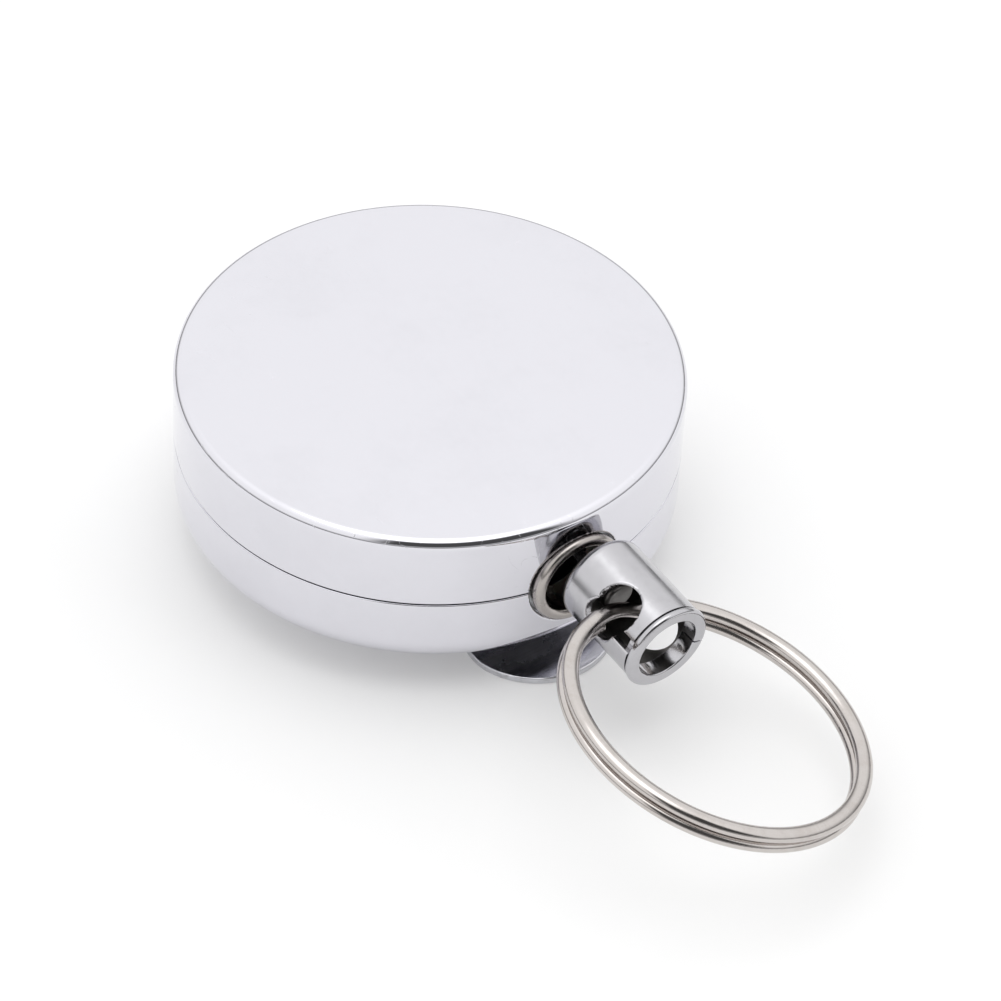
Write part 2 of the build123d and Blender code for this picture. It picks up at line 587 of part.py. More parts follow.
def build_nodes():
    """Every separate piece, by node name."""
    return {
        "front_cover": make_front_cover(),
        "back_cover": make_back_cover(),
        "joining_band": make_joining_band(),
        "outlet_eyelet": make_outlet_eyelet(),
        "eyelet_washer": make_eyelet_washer(),
        "centre_post": make_centre_post(),
        "lower_washer": thrust_washer(LOWER_WASHER_Z),
        "upper_washer": thrust_washer(UPPER_WASHER_Z),
        "retaining_ring": make_retaining_ring(),
        "spool_drum": make_spool(),
        "spring_cover": make_spring_cover(),
        "power_spring": make_power_spring(),
        "cord_winding": make_cord_winding(),
        "cord_knot": make_cord_knot(),
        "cord_run": make_cord_run(),
        "cord_lead": make_cord_lead(),
        "cord_crimp": make_cord_crimp(),
        "connector_body": make_connector_body(),
        "connector_collar": make_connector_collar(),
        "split_ring": make_split_ring(),
        "clip_base": make_clip_base(),
        "clip_tongue": make_clip_tongue(),
        "clip_rivets": make_clip_rivets(),
    }


os.makedirs("parts", exist_ok=True)
for node, shape in build_nodes().items():
    export_step(shape, f"parts/{node}.step")
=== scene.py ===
"""Retractable badge reel: visual pieces and finishes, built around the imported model's frame."""
import json
import math

import bmesh
import bpy
import numpy as np
from bpy.props import FloatProperty, FloatVectorProperty, PointerProperty
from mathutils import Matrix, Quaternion, Vector


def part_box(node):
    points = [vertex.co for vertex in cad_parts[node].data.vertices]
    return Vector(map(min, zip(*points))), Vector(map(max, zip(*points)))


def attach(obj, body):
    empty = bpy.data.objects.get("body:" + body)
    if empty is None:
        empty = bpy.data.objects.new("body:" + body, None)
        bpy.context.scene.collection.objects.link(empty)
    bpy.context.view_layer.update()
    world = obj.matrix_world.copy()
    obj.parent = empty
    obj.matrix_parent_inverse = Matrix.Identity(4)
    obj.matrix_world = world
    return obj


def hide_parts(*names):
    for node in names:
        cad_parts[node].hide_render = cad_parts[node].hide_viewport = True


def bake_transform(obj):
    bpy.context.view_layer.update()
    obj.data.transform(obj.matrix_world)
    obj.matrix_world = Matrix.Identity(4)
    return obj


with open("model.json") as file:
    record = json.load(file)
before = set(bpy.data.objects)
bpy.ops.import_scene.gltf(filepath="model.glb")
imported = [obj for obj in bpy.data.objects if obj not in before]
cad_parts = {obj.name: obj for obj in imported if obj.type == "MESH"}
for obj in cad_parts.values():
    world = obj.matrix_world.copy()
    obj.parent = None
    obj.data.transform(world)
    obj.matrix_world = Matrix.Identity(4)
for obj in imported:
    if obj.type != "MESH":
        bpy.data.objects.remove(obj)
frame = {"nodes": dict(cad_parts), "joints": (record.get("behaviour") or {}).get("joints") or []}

bl_info = {
    "name": "Retractable badge reel",
    "version": (1, 0, 0),
    "blender": (4, 5, 0),
    "location": "View3D > Sidebar > Badge reel",
    "description": "Builds a chromed badge reel with its split ring, belt clip and studio",
    "category": "Add Mesh",
}

MM = 0.001
PER_MM = 1000.0              # Object coordinates are metres, and patterns are sized in millimetres
WELD = 2e-7                  # points closer than this are one point
SHARP = math.radians(38)     # edges that turn by more than this stay sharp
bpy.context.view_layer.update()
JOINTS = {joint["name"]: joint for joint in frame["joints"]}


# ---- properties ---------------------------------------------------------------------------
def length(name, description, default):
    """A length in metres."""
    return FloatProperty(name=name, description=description, default=default, min=0.0,
                         unit="LENGTH", precision=5)


def turn(name, description, degrees):
    """An angle, given in degrees."""
    return FloatProperty(name=name, description=description, default=math.radians(degrees),
                         subtype="ANGLE", unit="ROTATION")


def colour(name, description, default):
    """A colour in linear light."""
    return FloatVectorProperty(name=name, description=description, default=default, size=3,
                               min=0.0, max=1.0, subtype="COLOR")


def amount(name, description, default):
    """A plain number."""
    return FloatProperty(name=name, description=description, default=default, min=0.0)


class ReelSizes(bpy.types.PropertyGroup):
    """Sizes of the pieces that the frame's boxes don't give."""

    case_wall: length("Case wall", "Thickness of the covers' sheet", 0.8 * MM)
    front_round: length("Front edge", "Round between the front face and the side", 0.75 * MM)
    back_round: length("Back edge", "Round between the back face and the side", 2.4 * MM)
    rim_ease: length("Rim easing", "Round on the rims that meet at the seam", 0.12 * MM)
    cut_ease: length("Cut easing", "Round on the edges of holes", 0.13 * MM)
    post_hole: length("Post hole", "Radius of the hole for the centre post", 1.5 * MM)
    outlet_gap: length("Outlet gap", "Space between the eyelet's lip and the covers", 0.12 * MM)
    eyelet_bore: length("Eyelet bore", "Radius of the hole through the eyelet", 3.0 * MM)
    eyelet_wall: length("Eyelet wall", "Thickness of the eyelet's barrel", 0.4 * MM)
    eyelet_neck: length("Eyelet neck", "Height of the eyelet's seat over its barrel", 0.3 * MM)
    lip_depth: length("Lip depth", "Thickness of the eyelet's lip along its axis", 0.85 * MM)
    lip_round: length("Lip round", "Round on the front of the eyelet's lip", 0.41 * MM)
    lip_back_round: length("Lip back round", "Round on the back of the eyelet's lip", 0.2 * MM)
    swage_depth: length("Swage depth", "Thickness of the eyelet's swaged end", 0.4 * MM)
    swage_rim: length("Swage rim", "Width of the eyelet's swaged end", 0.5 * MM)
    tube_bore: length("Connector bore", "Radius inside the connector", 2.95 * MM)
    tube_radius: length("Connector radius", "Radius outside the connector", 3.58 * MM)
    tube_end_wall: length("Connector end wall", "Thickness of the closed end", 1.3 * MM)
    tube_round: length("Connector round", "Round on the closed end", 0.9 * MM)
    tube_length: length("Connector length", "Length of the connector's tube", 8.42 * MM)
    cord_hole: length("Cord hole", "Radius of the hole for the cord", 0.8 * MM)
    cross_hole: length("Cross hole", "Radius of the hole across the connector", 1.88 * MM)
    cross_hole_at: length("Cross hole place", "Distance of the cross hole from the closed end", 5.5 * MM)
    cross_hole_roll: turn("Cross hole roll", "Turn of the cross hole from upright", 43.0)
    swing_hole: length("Swing hole", "Radius of the ring's own hole", 1.65 * MM)
    slot_width: length("Slot width", "Width of the slot from the hole to the rim", 1.1 * MM)
    slot_roll: turn("Slot roll", "Turn of the slot from upright", 67.0)
    collar_radius: length("Collar radius", "Radius of the collar's flange", 3.68 * MM)
    collar_bore: length("Collar bore", "Radius inside the collar", 2.62 * MM)
    collar_gap: length("Collar gap", "Groove between the tube and the flange", 0.06 * MM)
    collar_flange: length("Collar flange", "Thickness of the collar's flange", 0.62 * MM)
    collar_spigot: length("Collar spigot", "Depth of the collar inside the tube", 0.75 * MM)
    collar_round: length("Collar round", "Round on the collar's flange", 0.28 * MM)
    collar_slit: length("Collar slit", "Width of the slit in the collar", 0.22 * MM)
    collar_slit_roll: turn("Collar slit roll", "Turn of the slit from upright", 254.0)
    ring_radius: length("Ring radius", "Outer radius of the split ring", 12.5 * MM)
    wire_width: length("Wire width", "Width of the ring's wire, across the ring", 1.34 * MM)
    wire_height: length("Wire height", "Height of the ring's wire", 1.02 * MM)
    coil_gap: length("Coil gap", "Space between the ring's two coils", 0.03 * MM)
    ring_crossing_start: turn("Crossing start", "Where the wire starts to cross over", -15.0)
    ring_crossing_end: turn("Crossing end", "Where the wire has crossed over", 15.0)
    clip_thickness: length("Clip thickness", "Thickness of the belt clip's strip", 0.6 * MM)
    clip_corner: length("Clip corner", "Corner radius of the clip's upper leg", 2.5 * MM)
    clip_ridge_rise: length("Ridge rise", "Height of the clip's gripping ridge", 0.95 * MM)
    clip_ridge_length: length("Ridge length", "Length of the clip's gripping ridge", 9.0 * MM)
    clip_ridge_back: length("Ridge place", "Distance from the ridge's crest to the tip", 8.9 * MM)
    clip_edge: length("Clip edge", "Round on the edges of the clip's strip", 0.12 * MM)
    rivet_head: length("Rivet head", "Radius of the rivets' heads", 1.7 * MM)
    rivet_shank: length("Rivet shank", "Radius of the rivets' shanks", 1.0 * MM)
    rivet_bore: length("Rivet bore", "Radius of the rivets' bores", 0.5 * MM)
    rivet_height: length("Rivet head height", "Height of the rivets' heads", 0.5 * MM)
    rivet_round: length("Rivet round", "Round on the rivets' heads", 0.3 * MM)
    cord_radius: length("Cord radius", "Radius of the cord", 0.45 * MM)
    cord_bend: length("Cord bend", "Radius of the cord's bend at the connector", 3.0 * MM)
    braid_pitch: length("Braid pitch", "Length of one turn of the cord's braid", 1.6 * MM)


class ReelFinishes(bpy.types.PropertyGroup):
    """Colours of the finishes."""

    case_chrome: colour("Case chrome", "Polished chrome of the covers", (0.735, 0.73, 0.775))
    connector_chrome: colour("Connector chrome", "Satin chrome of the connector", (0.51, 0.505, 0.525))
    ring_nickel: colour("Ring nickel", "Warm nickel of the ring", (0.58, 0.545, 0.525))
    nickel_shade: colour("Nickel shade", "Darker tone in the ring's nickel", (0.47, 0.43, 0.40))
    eyelet_nickel: colour("Eyelet nickel", "Duller nickel of the eyelet", (0.44, 0.41, 0.39))
    clip_steel: colour("Clip steel", "Bright plate on the belt clip", (0.66, 0.66, 0.69))
    zinc: colour("Zinc", "Zinc plate on the inner steel", (0.62, 0.63, 0.64))
    spring_steel: colour("Spring steel", "Blue-grey strip of the power spring", (0.30, 0.32, 0.36))
    crimp: colour("Crimp", "Dark steel of the crimp on the cord's end", (0.16, 0.155, 0.15))
    # Tube inside: dull plate, darkened further as painted shade for the inside of the connector's bore
    tube_inside_shade: colour("Tube inside", "Dull plate inside the connector", (0.20, 0.195, 0.19))
    nylon: colour("Nylon", "Moulded spool and washers", (0.78, 0.77, 0.72))
    cord: colour("Cord", "Braided cord", (0.018, 0.018, 0.020))


class ReelStage(bpy.types.PropertyGroup):
    """Camera, floor and light."""

    azimuth: turn("Azimuth", "Camera's turn round the reel", 52.682)
    elevation: turn("Elevation", "Camera's height over the horizon", 43.347)
    roll: turn("Roll", "Camera's turn about its own axis", 3.363)
    distance: length("Distance", "Camera's distance from the point it looks at", 347.79 * MM)
    aim: FloatVectorProperty(name="Aim", description="Point that the camera looks at", subtype="XYZ",
                             default=(9.995 * MM, -0.069 * MM, 9.5 * MM), unit="LENGTH", precision=5)
    lens: FloatProperty(name="Lens", description="Focal length in millimetres", default=161.84, min=1.0)
    wall: amount("Wall", "Brightness of the surroundings at the horizon", 0.28)
    sky: amount("Sky", "Brightness of the surroundings above the horizon", 1.12)
    ceiling: amount("Ceiling", "Brightness of the surroundings overhead", 1.4)
    panel_azimuth: turn("Panel azimuth", "Turn of the dark panel's middle round the reel", 74.0)
    panel_width: turn("Panel width", "Turn that the dark panel covers", 80.0)
    panel_low: turn("Panel low", "Height of the dark panel's lower edge", 14.0)
    panel_high: turn("Panel high", "Height of the dark panel's upper edge", 61.0)
    panel_depth: amount("Panel depth", "Share of light that the dark panel takes away", 0.93)
    floor: colour("Floor", "Pale floor", (0.78, 0.78, 0.78))
    floor_glow: amount("Floor glow", "Light of the floor itself, which softens the shadow", 0.2)
    overhead: amount("Overhead light", "Power of the large soft light, in watts", 0.5)


# ---- places -------------------------------------------------------------------------------
def unit(vector):
    """A vector at length one."""
    return vector / np.linalg.norm(vector)


def place(origin, axis, toward):
    """Origin and X, Y, Z directions: Z along axis, X as near toward as it goes."""
    z = unit(np.array(axis, float))
    toward = np.array(toward, float)
    x = unit(toward - z * (toward @ z))
    return np.array(origin, float), x, np.cross(z, x), z


def upright(x=0.0, y=0.0, z=0.0):
    """Place with its axis up."""
    return place((x, y, z), (0, 0, 1), (1, 0, 0))


def turned(where, angle, radius, height):
    """Points round a place's axis: origin + radius (cos angle X + sin angle Y) + height Z."""
    origin, x, y, z = where
    angle, radius, height = (np.asarray(v, float)[..., None] for v in (angle, radius, height))
    return origin + radius * (np.cos(angle) * x + np.sin(angle) * y) + height * z


def low_high(node):
    """Lowest and highest corner of a CAD node."""
    low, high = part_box(node)
    return np.array(low), np.array(high)


def connector_place():
    """The connector's axis from its joint: Z to the open end, X upright."""
    joint = JOINTS["connector_swivel"]
    return place(joint["pos_m"], joint["axis"], (0, 0, 1))


def ring_place():
    """The split ring's centre, Z along its axis, X back to the connector."""
    joint = JOINTS["ring_swing"]
    low, high = low_high("split_ring")
    centre = (low + high) / 2
    swing = unit(np.array(joint["axis"], float))
    back = np.array(joint["pos_m"]) - centre
    back = unit(back - swing * (back @ swing))
    return centre, back, swing, np.cross(back, swing)


def outlet_place():
    """The eyelet's axis: Z out of the case, X up."""
    low, high = low_high("outlet_eyelet")
    middle = (low + high) / 2
    return place((0, middle[1], middle[2]), (1, 0, 0), (0, 0, 1))


# ---- surfaces -----------------------------------------------------------------------------
def rounded(corners, radii, steps=10, closed=False):
    """Outline whose corners are arcs. An arc starts radius / tan(half) before its corner, where half
    is half the corner's inner angle, and its points turn evenly from one tangent to the other."""
    corners = np.array(corners, float)
    count = len(corners)
    found = []
    for i, radius in enumerate(radii):
        corner = corners[i]
        if radius <= 0 or (not closed and i in (0, count - 1)):
            found.append(corner[None])
            continue
        before = unit(corners[i - 1] - corner)
        after = unit(corners[(i + 1) % count] - corner)
        half = math.acos(np.clip(before @ after, -1, 1)) / 2
        middle = corner + unit(before + after) * radius / math.sin(half)
        start = corner + before * radius / math.tan(half) - middle
        end = corner + after * radius / math.tan(half) - middle
        share = np.linspace(0, 1, steps + 1)[:, None]
        sweep = math.pi - 2 * half
        arc = (np.sin((1 - share) * sweep) * start + np.sin(share * sweep) * end) / math.sin(sweep)
        found.append(middle + arc)
    return np.concatenate(found)


def run_of(line):
    """Distance of each point of a line from its start."""
    steps = np.linalg.norm(np.diff(line, axis=0), axis=1)
    return np.concatenate([[0.0], np.cumsum(steps)])


def at_run(line, run):
    """Point of a line at a distance from its start."""
    reach = run_of(line)
    return np.stack([np.interp(run, reach, line[:, i]) for i in range(line.shape[1])], -1)


def quads(rows, columns, wrap=False):
    """Corner numbers of a grid's squares. A wrapped grid's last column joins its first."""
    across = np.arange(columns if wrap else columns - 1)
    row, column = np.meshgrid(np.arange(rows - 1), across, indexing="ij")
    beside = (column + 1) % columns
    corners = (row * columns + column, row * columns + beside,
               (row + 1) * columns + beside, (row + 1) * columns + column)
    return np.stack(corners, -1).reshape(-1, 4)


def outward(points, faces):
    """Faces turned over if the volume that they close comes out negative."""
    a, b, c, d = (points[faces[:, i]] for i in range(4))
    volume = np.sum(a * np.cross(b, c)) + np.sum(a * np.cross(c, d))
    return faces if volume > 0 else faces[:, ::-1]


def lathe(profile, where, angles, loop=False):
    """Profile of (radius, height) points carried round a place's axis. A loop ends where it starts."""
    if loop:
        profile = np.concatenate([profile, profile[:1]])
    angle, radius = np.meshgrid(angles, profile[:, 0])
    height = np.meshgrid(angles, profile[:, 1])[1]
    points = turned(where, angle, radius, height).reshape(-1, 3)
    faces = quads(len(profile), len(angles), wrap=True)
    return points, outward(points, faces)


def solid_metal(angle, radius, height):
    """Distance to the openings of a wall that has none."""
    return np.full(np.shape(angle), 1.0)


def stepped(profile, angle, run, metal, wanted, share):
    """One step of each point up or down the slope of its distance to the openings, to a wanted one."""
    tiny = 1e-8
    radius, height = np.moveaxis(at_run(profile, run), -1, 0)
    ahead = np.moveaxis(at_run(profile, run + tiny), -1, 0)
    safe = np.maximum(radius, 0.05 * MM)
    here = metal(angle, radius, height)
    across = (metal(angle + tiny / safe, radius, height) - here) / tiny
    along = (metal(angle, *ahead) - here) / tiny
    step = share * (wanted - here) / np.maximum(across**2 + along**2, 0.25)
    return angle + step * across / safe, run + step * along


def walled(outside, inside, runs, inner_runs, where, angles, metal=solid_metal, ease=0.0, reach=MM):
    """Closed wall between two profiles carried round an axis, with openings cut through it.

    metal(angle, radius, height) is the distance to the nearest opening's edge, positive on metal.
    Squares wholly in an opening are left out, and the points left inside it move to its edge along
    the distance's slope. The outer surface sinks in a quarter round of radius ease at that edge:
    depth = ease (1 - sqrt(1 - (1 - distance / ease)^2)). The inner surface's points move until they
    are as far from its own edge, fading out over reach, and rims join the two surfaces."""
    angle, run = np.meshgrid(angles, runs)
    near = 0.35 * np.abs(np.gradient(runs))[:, None]
    clear = metal(angle, *np.moveaxis(at_run(outside, run), -1, 0)) > near
    faces = quads(*angle.shape, wrap=True)
    faces = faces[clear.reshape(-1)[faces].any(axis=1)]
    share = (~clear).astype(float)
    for _ in range(4):
        angle, run = stepped(outside, angle, run, metal, 0.0, share)
    gap = metal(angle, *np.moveaxis(at_run(outside, run), -1, 0))
    fade = np.clip(1 - gap / reach, 0, 1)
    fade = fade * fade * (3 - 2 * fade)
    inner_angle, inner_run = angle, inner_runs[:, None] + (run - runs[:, None])
    for _ in range(4):
        inner_angle, inner_run = stepped(inside, inner_angle, inner_run, metal, gap, fade)
    shape = at_run(outside, run)
    slope = at_run(outside, run + 1e-7) - at_run(outside, run - 1e-7)
    slope = slope / np.maximum(np.linalg.norm(slope, axis=-1, keepdims=True), 1e-12)
    part = np.clip(1 - gap / max(ease, 1e-9), 0, 1)
    depth = ease * (1 - np.sqrt(1 - part**2))
    radius = shape[..., 0] - depth * slope[..., 1]
    height = shape[..., 1] + depth * slope[..., 0]
    outer_points = turned(where, angle, radius, height).reshape(-1, 3)
    inner_shape = at_run(inside, inner_run)
    inner_points = turned(where, inner_angle, inner_shape[..., 0], inner_shape[..., 1]).reshape(-1, 3)
    count = len(outer_points)
    sides = faces[:, [0, 1, 1, 2, 2, 3, 3, 0]].reshape(-1, 2)
    key = np.sort(sides, axis=1) @ np.array([count, 1])
    _, inverse, uses = np.unique(key, return_inverse=True, return_counts=True)
    a, b = sides[uses[inverse] == 1].T
    real = np.linalg.norm(outer_points[a] - outer_points[b], axis=1) > WELD
    a, b = a[real], b[real]
    rims = np.stack([b, a, a + count, b + count], -1)
    points = np.concatenate([outer_points, inner_points])
    return points, outward(points, np.concatenate([faces, faces[:, ::-1] + count, rims]))


def spaced(start, end, pitch):
    """Even places from start to end, no more than pitch apart."""
    return np.linspace(start, end, max(2, int(math.ceil(abs(end - start) / pitch)) + 1))


def joined(*stretches):
    """Places of several stretches in one row, with each shared end once."""
    return np.concatenate([stretches[0]] + [stretch[1:] for stretch in stretches[1:]])


def round_angles(fine, fine_step, step):
    """Angles once round, closer together within fine of zero."""
    return joined(spaced(-fine, fine, fine_step), spaced(fine, 2 * math.pi - fine, step))[:-1]


def new_piece(name, parts, material, body=None, stands_for=(), uv=None):
    """Mesh object of one or more (points, faces) parts, welded, smooth between its sharp edges."""
    points = np.concatenate([part[0] for part in parts])
    starts = np.cumsum([0] + [len(part[0]) for part in parts[:-1]])
    faces = [[start + corner for corner in face]
             for start, part in zip(starts.tolist(), parts) for face in map(list, part[1])]
    mesh = bpy.data.meshes.new(name)
    mesh.from_pydata(points.tolist(), [], faces)
    if uv is not None:
        corner = np.zeros(len(mesh.loops), np.int32)
        mesh.loops.foreach_get("vertex_index", corner)
        mesh.uv_layers.new(name="UVMap").data.foreach_set("uv", uv[corner].astype(np.float32).ravel())
    work = bmesh.new()
    work.from_mesh(mesh)
    bmesh.ops.remove_doubles(work, verts=work.verts, dist=WELD)
    bmesh.ops.dissolve_degenerate(work, edges=work.edges, dist=WELD / 2)
    work.to_mesh(mesh)
    work.free()
    mesh.polygons.foreach_set("use_smooth", [True] * len(mesh.polygons))
    mesh.set_sharp_from_angle(angle=SHARP)
    mesh.materials.append(material)
    piece = bpy.data.objects.new(name, mesh)
    bpy.context.scene.collection.objects.link(piece)
    weighted = piece.modifiers.new("Even shading", "WEIGHTED_NORMAL")
    weighted.keep_sharp = True
    if stands_for:
        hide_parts(*stands_for)
    if body:
        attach(piece, body)
    return piece


def lined(piece, where, radius, above, material):
    """Second material on the faces nearer a place's axis than a radius and over a height."""
    origin, _, _, z = where
    mesh = piece.data
    centre = np.zeros(len(mesh.polygons) * 3)
    mesh.polygons.foreach_get("center", centre)
    offset = centre.reshape(-1, 3) - origin
    height = offset @ z
    near = np.linalg.norm(offset - height[:, None] * z, axis=1) < radius
    mesh.materials.append(material)
    mesh.polygons.foreach_set("material_index", (near & (height > above)).astype(np.int32))


# ---- shader node groups -------------------------------------------------------------------
def node(tree, kind, inputs=None, **settings):
    """Adds a node, sets its settings, and links or sets its inputs by name or number."""
    made = tree.nodes.new(kind)
    for name, value in settings.items():
        setattr(made, name, value)
    for name, value in (inputs or {}).items():
        if isinstance(value, bpy.types.NodeSocket):
            tree.links.new(value, made.inputs[name])
        else:
            made.inputs[name].default_value = value
    return made


def maths(tree, operation, first, second=0.0, clamp=False):
    """Output of a Math node."""
    return node(tree, "ShaderNodeMath", {0: first, 1: second}, operation=operation,
                use_clamp=clamp).outputs[0]


def ranged(tree, value, low, high, to_low, to_high, smooth=False):
    """Output of a Map Range node, held to its range."""
    kind = "SMOOTHSTEP" if smooth else "LINEAR"
    inputs = {"Value": value, "From Min": low, "From Max": high, "To Min": to_low, "To Max": to_high}
    return node(tree, "ShaderNodeMapRange", inputs, interpolation_type=kind).outputs["Result"]


def empty_group(name, inputs, outputs):
    """New shader node group with named sockets. Gives the tree, its inputs and its output node."""
    tree = bpy.data.node_groups.new(name, "ShaderNodeTree")
    for label, kind, default in inputs:
        socket = tree.interface.new_socket(label, in_out="INPUT", socket_type=kind)
        if default is not None:
            socket.default_value = default
    for label, kind in outputs:
        tree.interface.new_socket(label, in_out="OUTPUT", socket_type=kind)
    return tree, tree.nodes.new("NodeGroupInput").outputs, tree.nodes.new("NodeGroupOutput").inputs


FLOAT, VECTOR, COLOUR = "NodeSocketFloat", "NodeSocketVector", "NodeSocketColor"


def scratches_group():
    """Hair-thin straight marks in three directions, broken into short lengths. Mask is 1 in a mark."""
    inputs = (("Vector", VECTOR, None), ("Scale", FLOAT, 0.35), ("Width", FLOAT, 0.006),
              ("Amount", FLOAT, 0.5))
    tree, given, out = empty_group("Hair scratches", inputs, (("Mask", FLOAT),))
    total = 0.0
    for angle, shift in ((12.0, 3.1), (71.0, 17.4), (138.0, 41.9)):
        placed = node(tree, "ShaderNodeMapping", {
            "Vector": given["Vector"], "Location": (shift, -shift, shift / 2),
            "Rotation": (0.0, 0.0, math.radians(angle)), "Scale": (0.16, 1.0, 1.0)})
        wave = node(tree, "ShaderNodeTexNoise", {
            "Vector": placed.outputs[0], "Scale": given["Scale"], "Detail": 1.0, "Distortion": 0.15})
        off = maths(tree, "ABSOLUTE", maths(tree, "SUBTRACT", wave.outputs["Fac"], 0.5))
        line = ranged(tree, off, 0.0, given["Width"], 1.0, 0.0)
        broken = node(tree, "ShaderNodeTexNoise", {
            "Vector": given["Vector"], "Scale": 0.9, "Detail": 2.0, "W": shift}, noise_dimensions="4D")
        limit = maths(tree, "SUBTRACT", 0.78, maths(tree, "MULTIPLY", given["Amount"], 0.4))
        gate = ranged(tree, broken.outputs["Fac"], limit, maths(tree, "ADD", limit, 0.04), 0.0, 1.0)
        mark = maths(tree, "MULTIPLY", line, gate)
        total = maths(tree, "MAXIMUM", mark, total)
    tree.links.new(total, out["Mask"])
    return tree


def dings_group():
    """Sparse pin-point dents. Height falls to -1 at a dent's middle; Mask is 1 on a dent."""
    inputs = (("Vector", VECTOR, None), ("Scale", FLOAT, 0.45), ("Size", FLOAT, 0.05),
              ("Share", FLOAT, 0.5))
    tree, given, out = empty_group("Pin dents", inputs, (("Height", FLOAT), ("Mask", FLOAT)))
    cells = node(tree, "ShaderNodeTexVoronoi", {"Vector": given["Vector"], "Scale": given["Scale"]})
    spot = ranged(tree, cells.outputs["Distance"], 0.0, given["Size"], 1.0, 0.0, smooth=True)
    pick = node(tree, "ShaderNodeSeparateColor", {"Color": cells.outputs["Color"]}).outputs[0]
    chosen = maths(tree, "LESS_THAN", pick, given["Share"])
    mask = maths(tree, "MULTIPLY", spot, chosen)
    tree.links.new(mask, out["Mask"])
    tree.links.new(maths(tree, "MULTIPLY", mask, -1.0), out["Height"])
    return tree


def haze_group():
    """Cloudy film from handling: a roughness between Low and High."""
    inputs = (("Vector", VECTOR, None), ("Scale", FLOAT, 0.25), ("Low", FLOAT, 0.05), ("High", FLOAT, 0.12))
    tree, given, out = empty_group("Handling haze", inputs, (("Roughness", FLOAT), ("Film", FLOAT)))
    wide = node(tree, "ShaderNodeTexNoise", {
        "Vector": given["Vector"], "Scale": given["Scale"], "Detail": 5.0, "Roughness": 0.62})
    film = ranged(tree, wide.outputs["Fac"], 0.36, 0.7, 0.0, 1.0, smooth=True)
    span = maths(tree, "SUBTRACT", given["High"], given["Low"])
    rough = maths(tree, "ADD", given["Low"], maths(tree, "MULTIPLY", film, span))
    tree.links.new(rough, out["Roughness"])
    tree.links.new(film, out["Film"])
    return tree


def drawn_lines_group():
    """Fine drawing or brushing lines along the vector's X: noise squeezed across them."""
    inputs = (("Vector", VECTOR, None), ("Across", FLOAT, 18.0), ("Along", FLOAT, 0.25))
    tree, given, out = empty_group("Drawn lines", inputs, (("Lines", FLOAT), ("Bands", FLOAT)))
    scale = node(tree, "ShaderNodeCombineXYZ", {0: given["Along"], 1: given["Across"], 2: given["Across"]})
    squeezed = node(tree, "ShaderNodeVectorMath", {0: given["Vector"], 1: scale.outputs[0]},
                    operation="MULTIPLY")
    fine = node(tree, "ShaderNodeTexNoise", {"Vector": squeezed.outputs[0], "Scale": 1.0, "Detail": 3.0,
                                             "Roughness": 0.6})
    wide = node(tree, "ShaderNodeTexNoise", {"Vector": squeezed.outputs[0], "Scale": 0.16, "Detail": 2.0})
    tree.links.new(fine.outputs["Fac"], out["Lines"])
    tree.links.new(ranged(tree, wide.outputs["Fac"], 0.35, 0.65, 0.0, 1.0, smooth=True), out["Bands"])
    return tree


def grain_group():
    """Fine even grain of a satin or moulded surface, with a slow swell under it."""
    inputs = (("Vector", VECTOR, None), ("Fine", FLOAT, 14.0), ("Slow", FLOAT, 0.7))
    tree, given, out = empty_group("Surface grain", inputs, (("Grain", FLOAT), ("Swell", FLOAT)))
    fine = node(tree, "ShaderNodeTexNoise", {"Vector": given["Vector"], "Scale": given["Fine"],
                                             "Detail": 3.0, "Roughness": 0.65})
    slow = node(tree, "ShaderNodeTexNoise", {"Vector": given["Vector"], "Scale": given["Slow"],
                                             "Detail": 2.0})
    tree.links.new(fine.outputs["Fac"], out["Grain"])
    tree.links.new(slow.outputs["Fac"], out["Swell"])
    return tree


def tarnish_group():
    """Colour that drifts between Clean and Worn in soft patches."""
    inputs = (("Vector", VECTOR, None), ("Scale", FLOAT, 0.5), ("Clean", COLOUR, None),
              ("Worn", COLOUR, None), ("Amount", FLOAT, 0.5))
    tree, given, out = empty_group("Tarnish", inputs, (("Colour", COLOUR),))
    patch = node(tree, "ShaderNodeTexNoise", {"Vector": given["Vector"], "Scale": given["Scale"],
                                              "Detail": 6.0, "Roughness": 0.7})
    share = ranged(tree, patch.outputs["Fac"], 0.42, 0.72, 0.0, 1.0, smooth=True)
    share = maths(tree, "MULTIPLY", share, given["Amount"], clamp=True)
    mixed = node(tree, "ShaderNodeMix", {"Factor": share}, data_type="RGBA")
    tree.links.new(given["Clean"], mixed.inputs[6])
    tree.links.new(given["Worn"], mixed.inputs[7])
    tree.links.new(mixed.outputs[2], out["Colour"])
    return tree


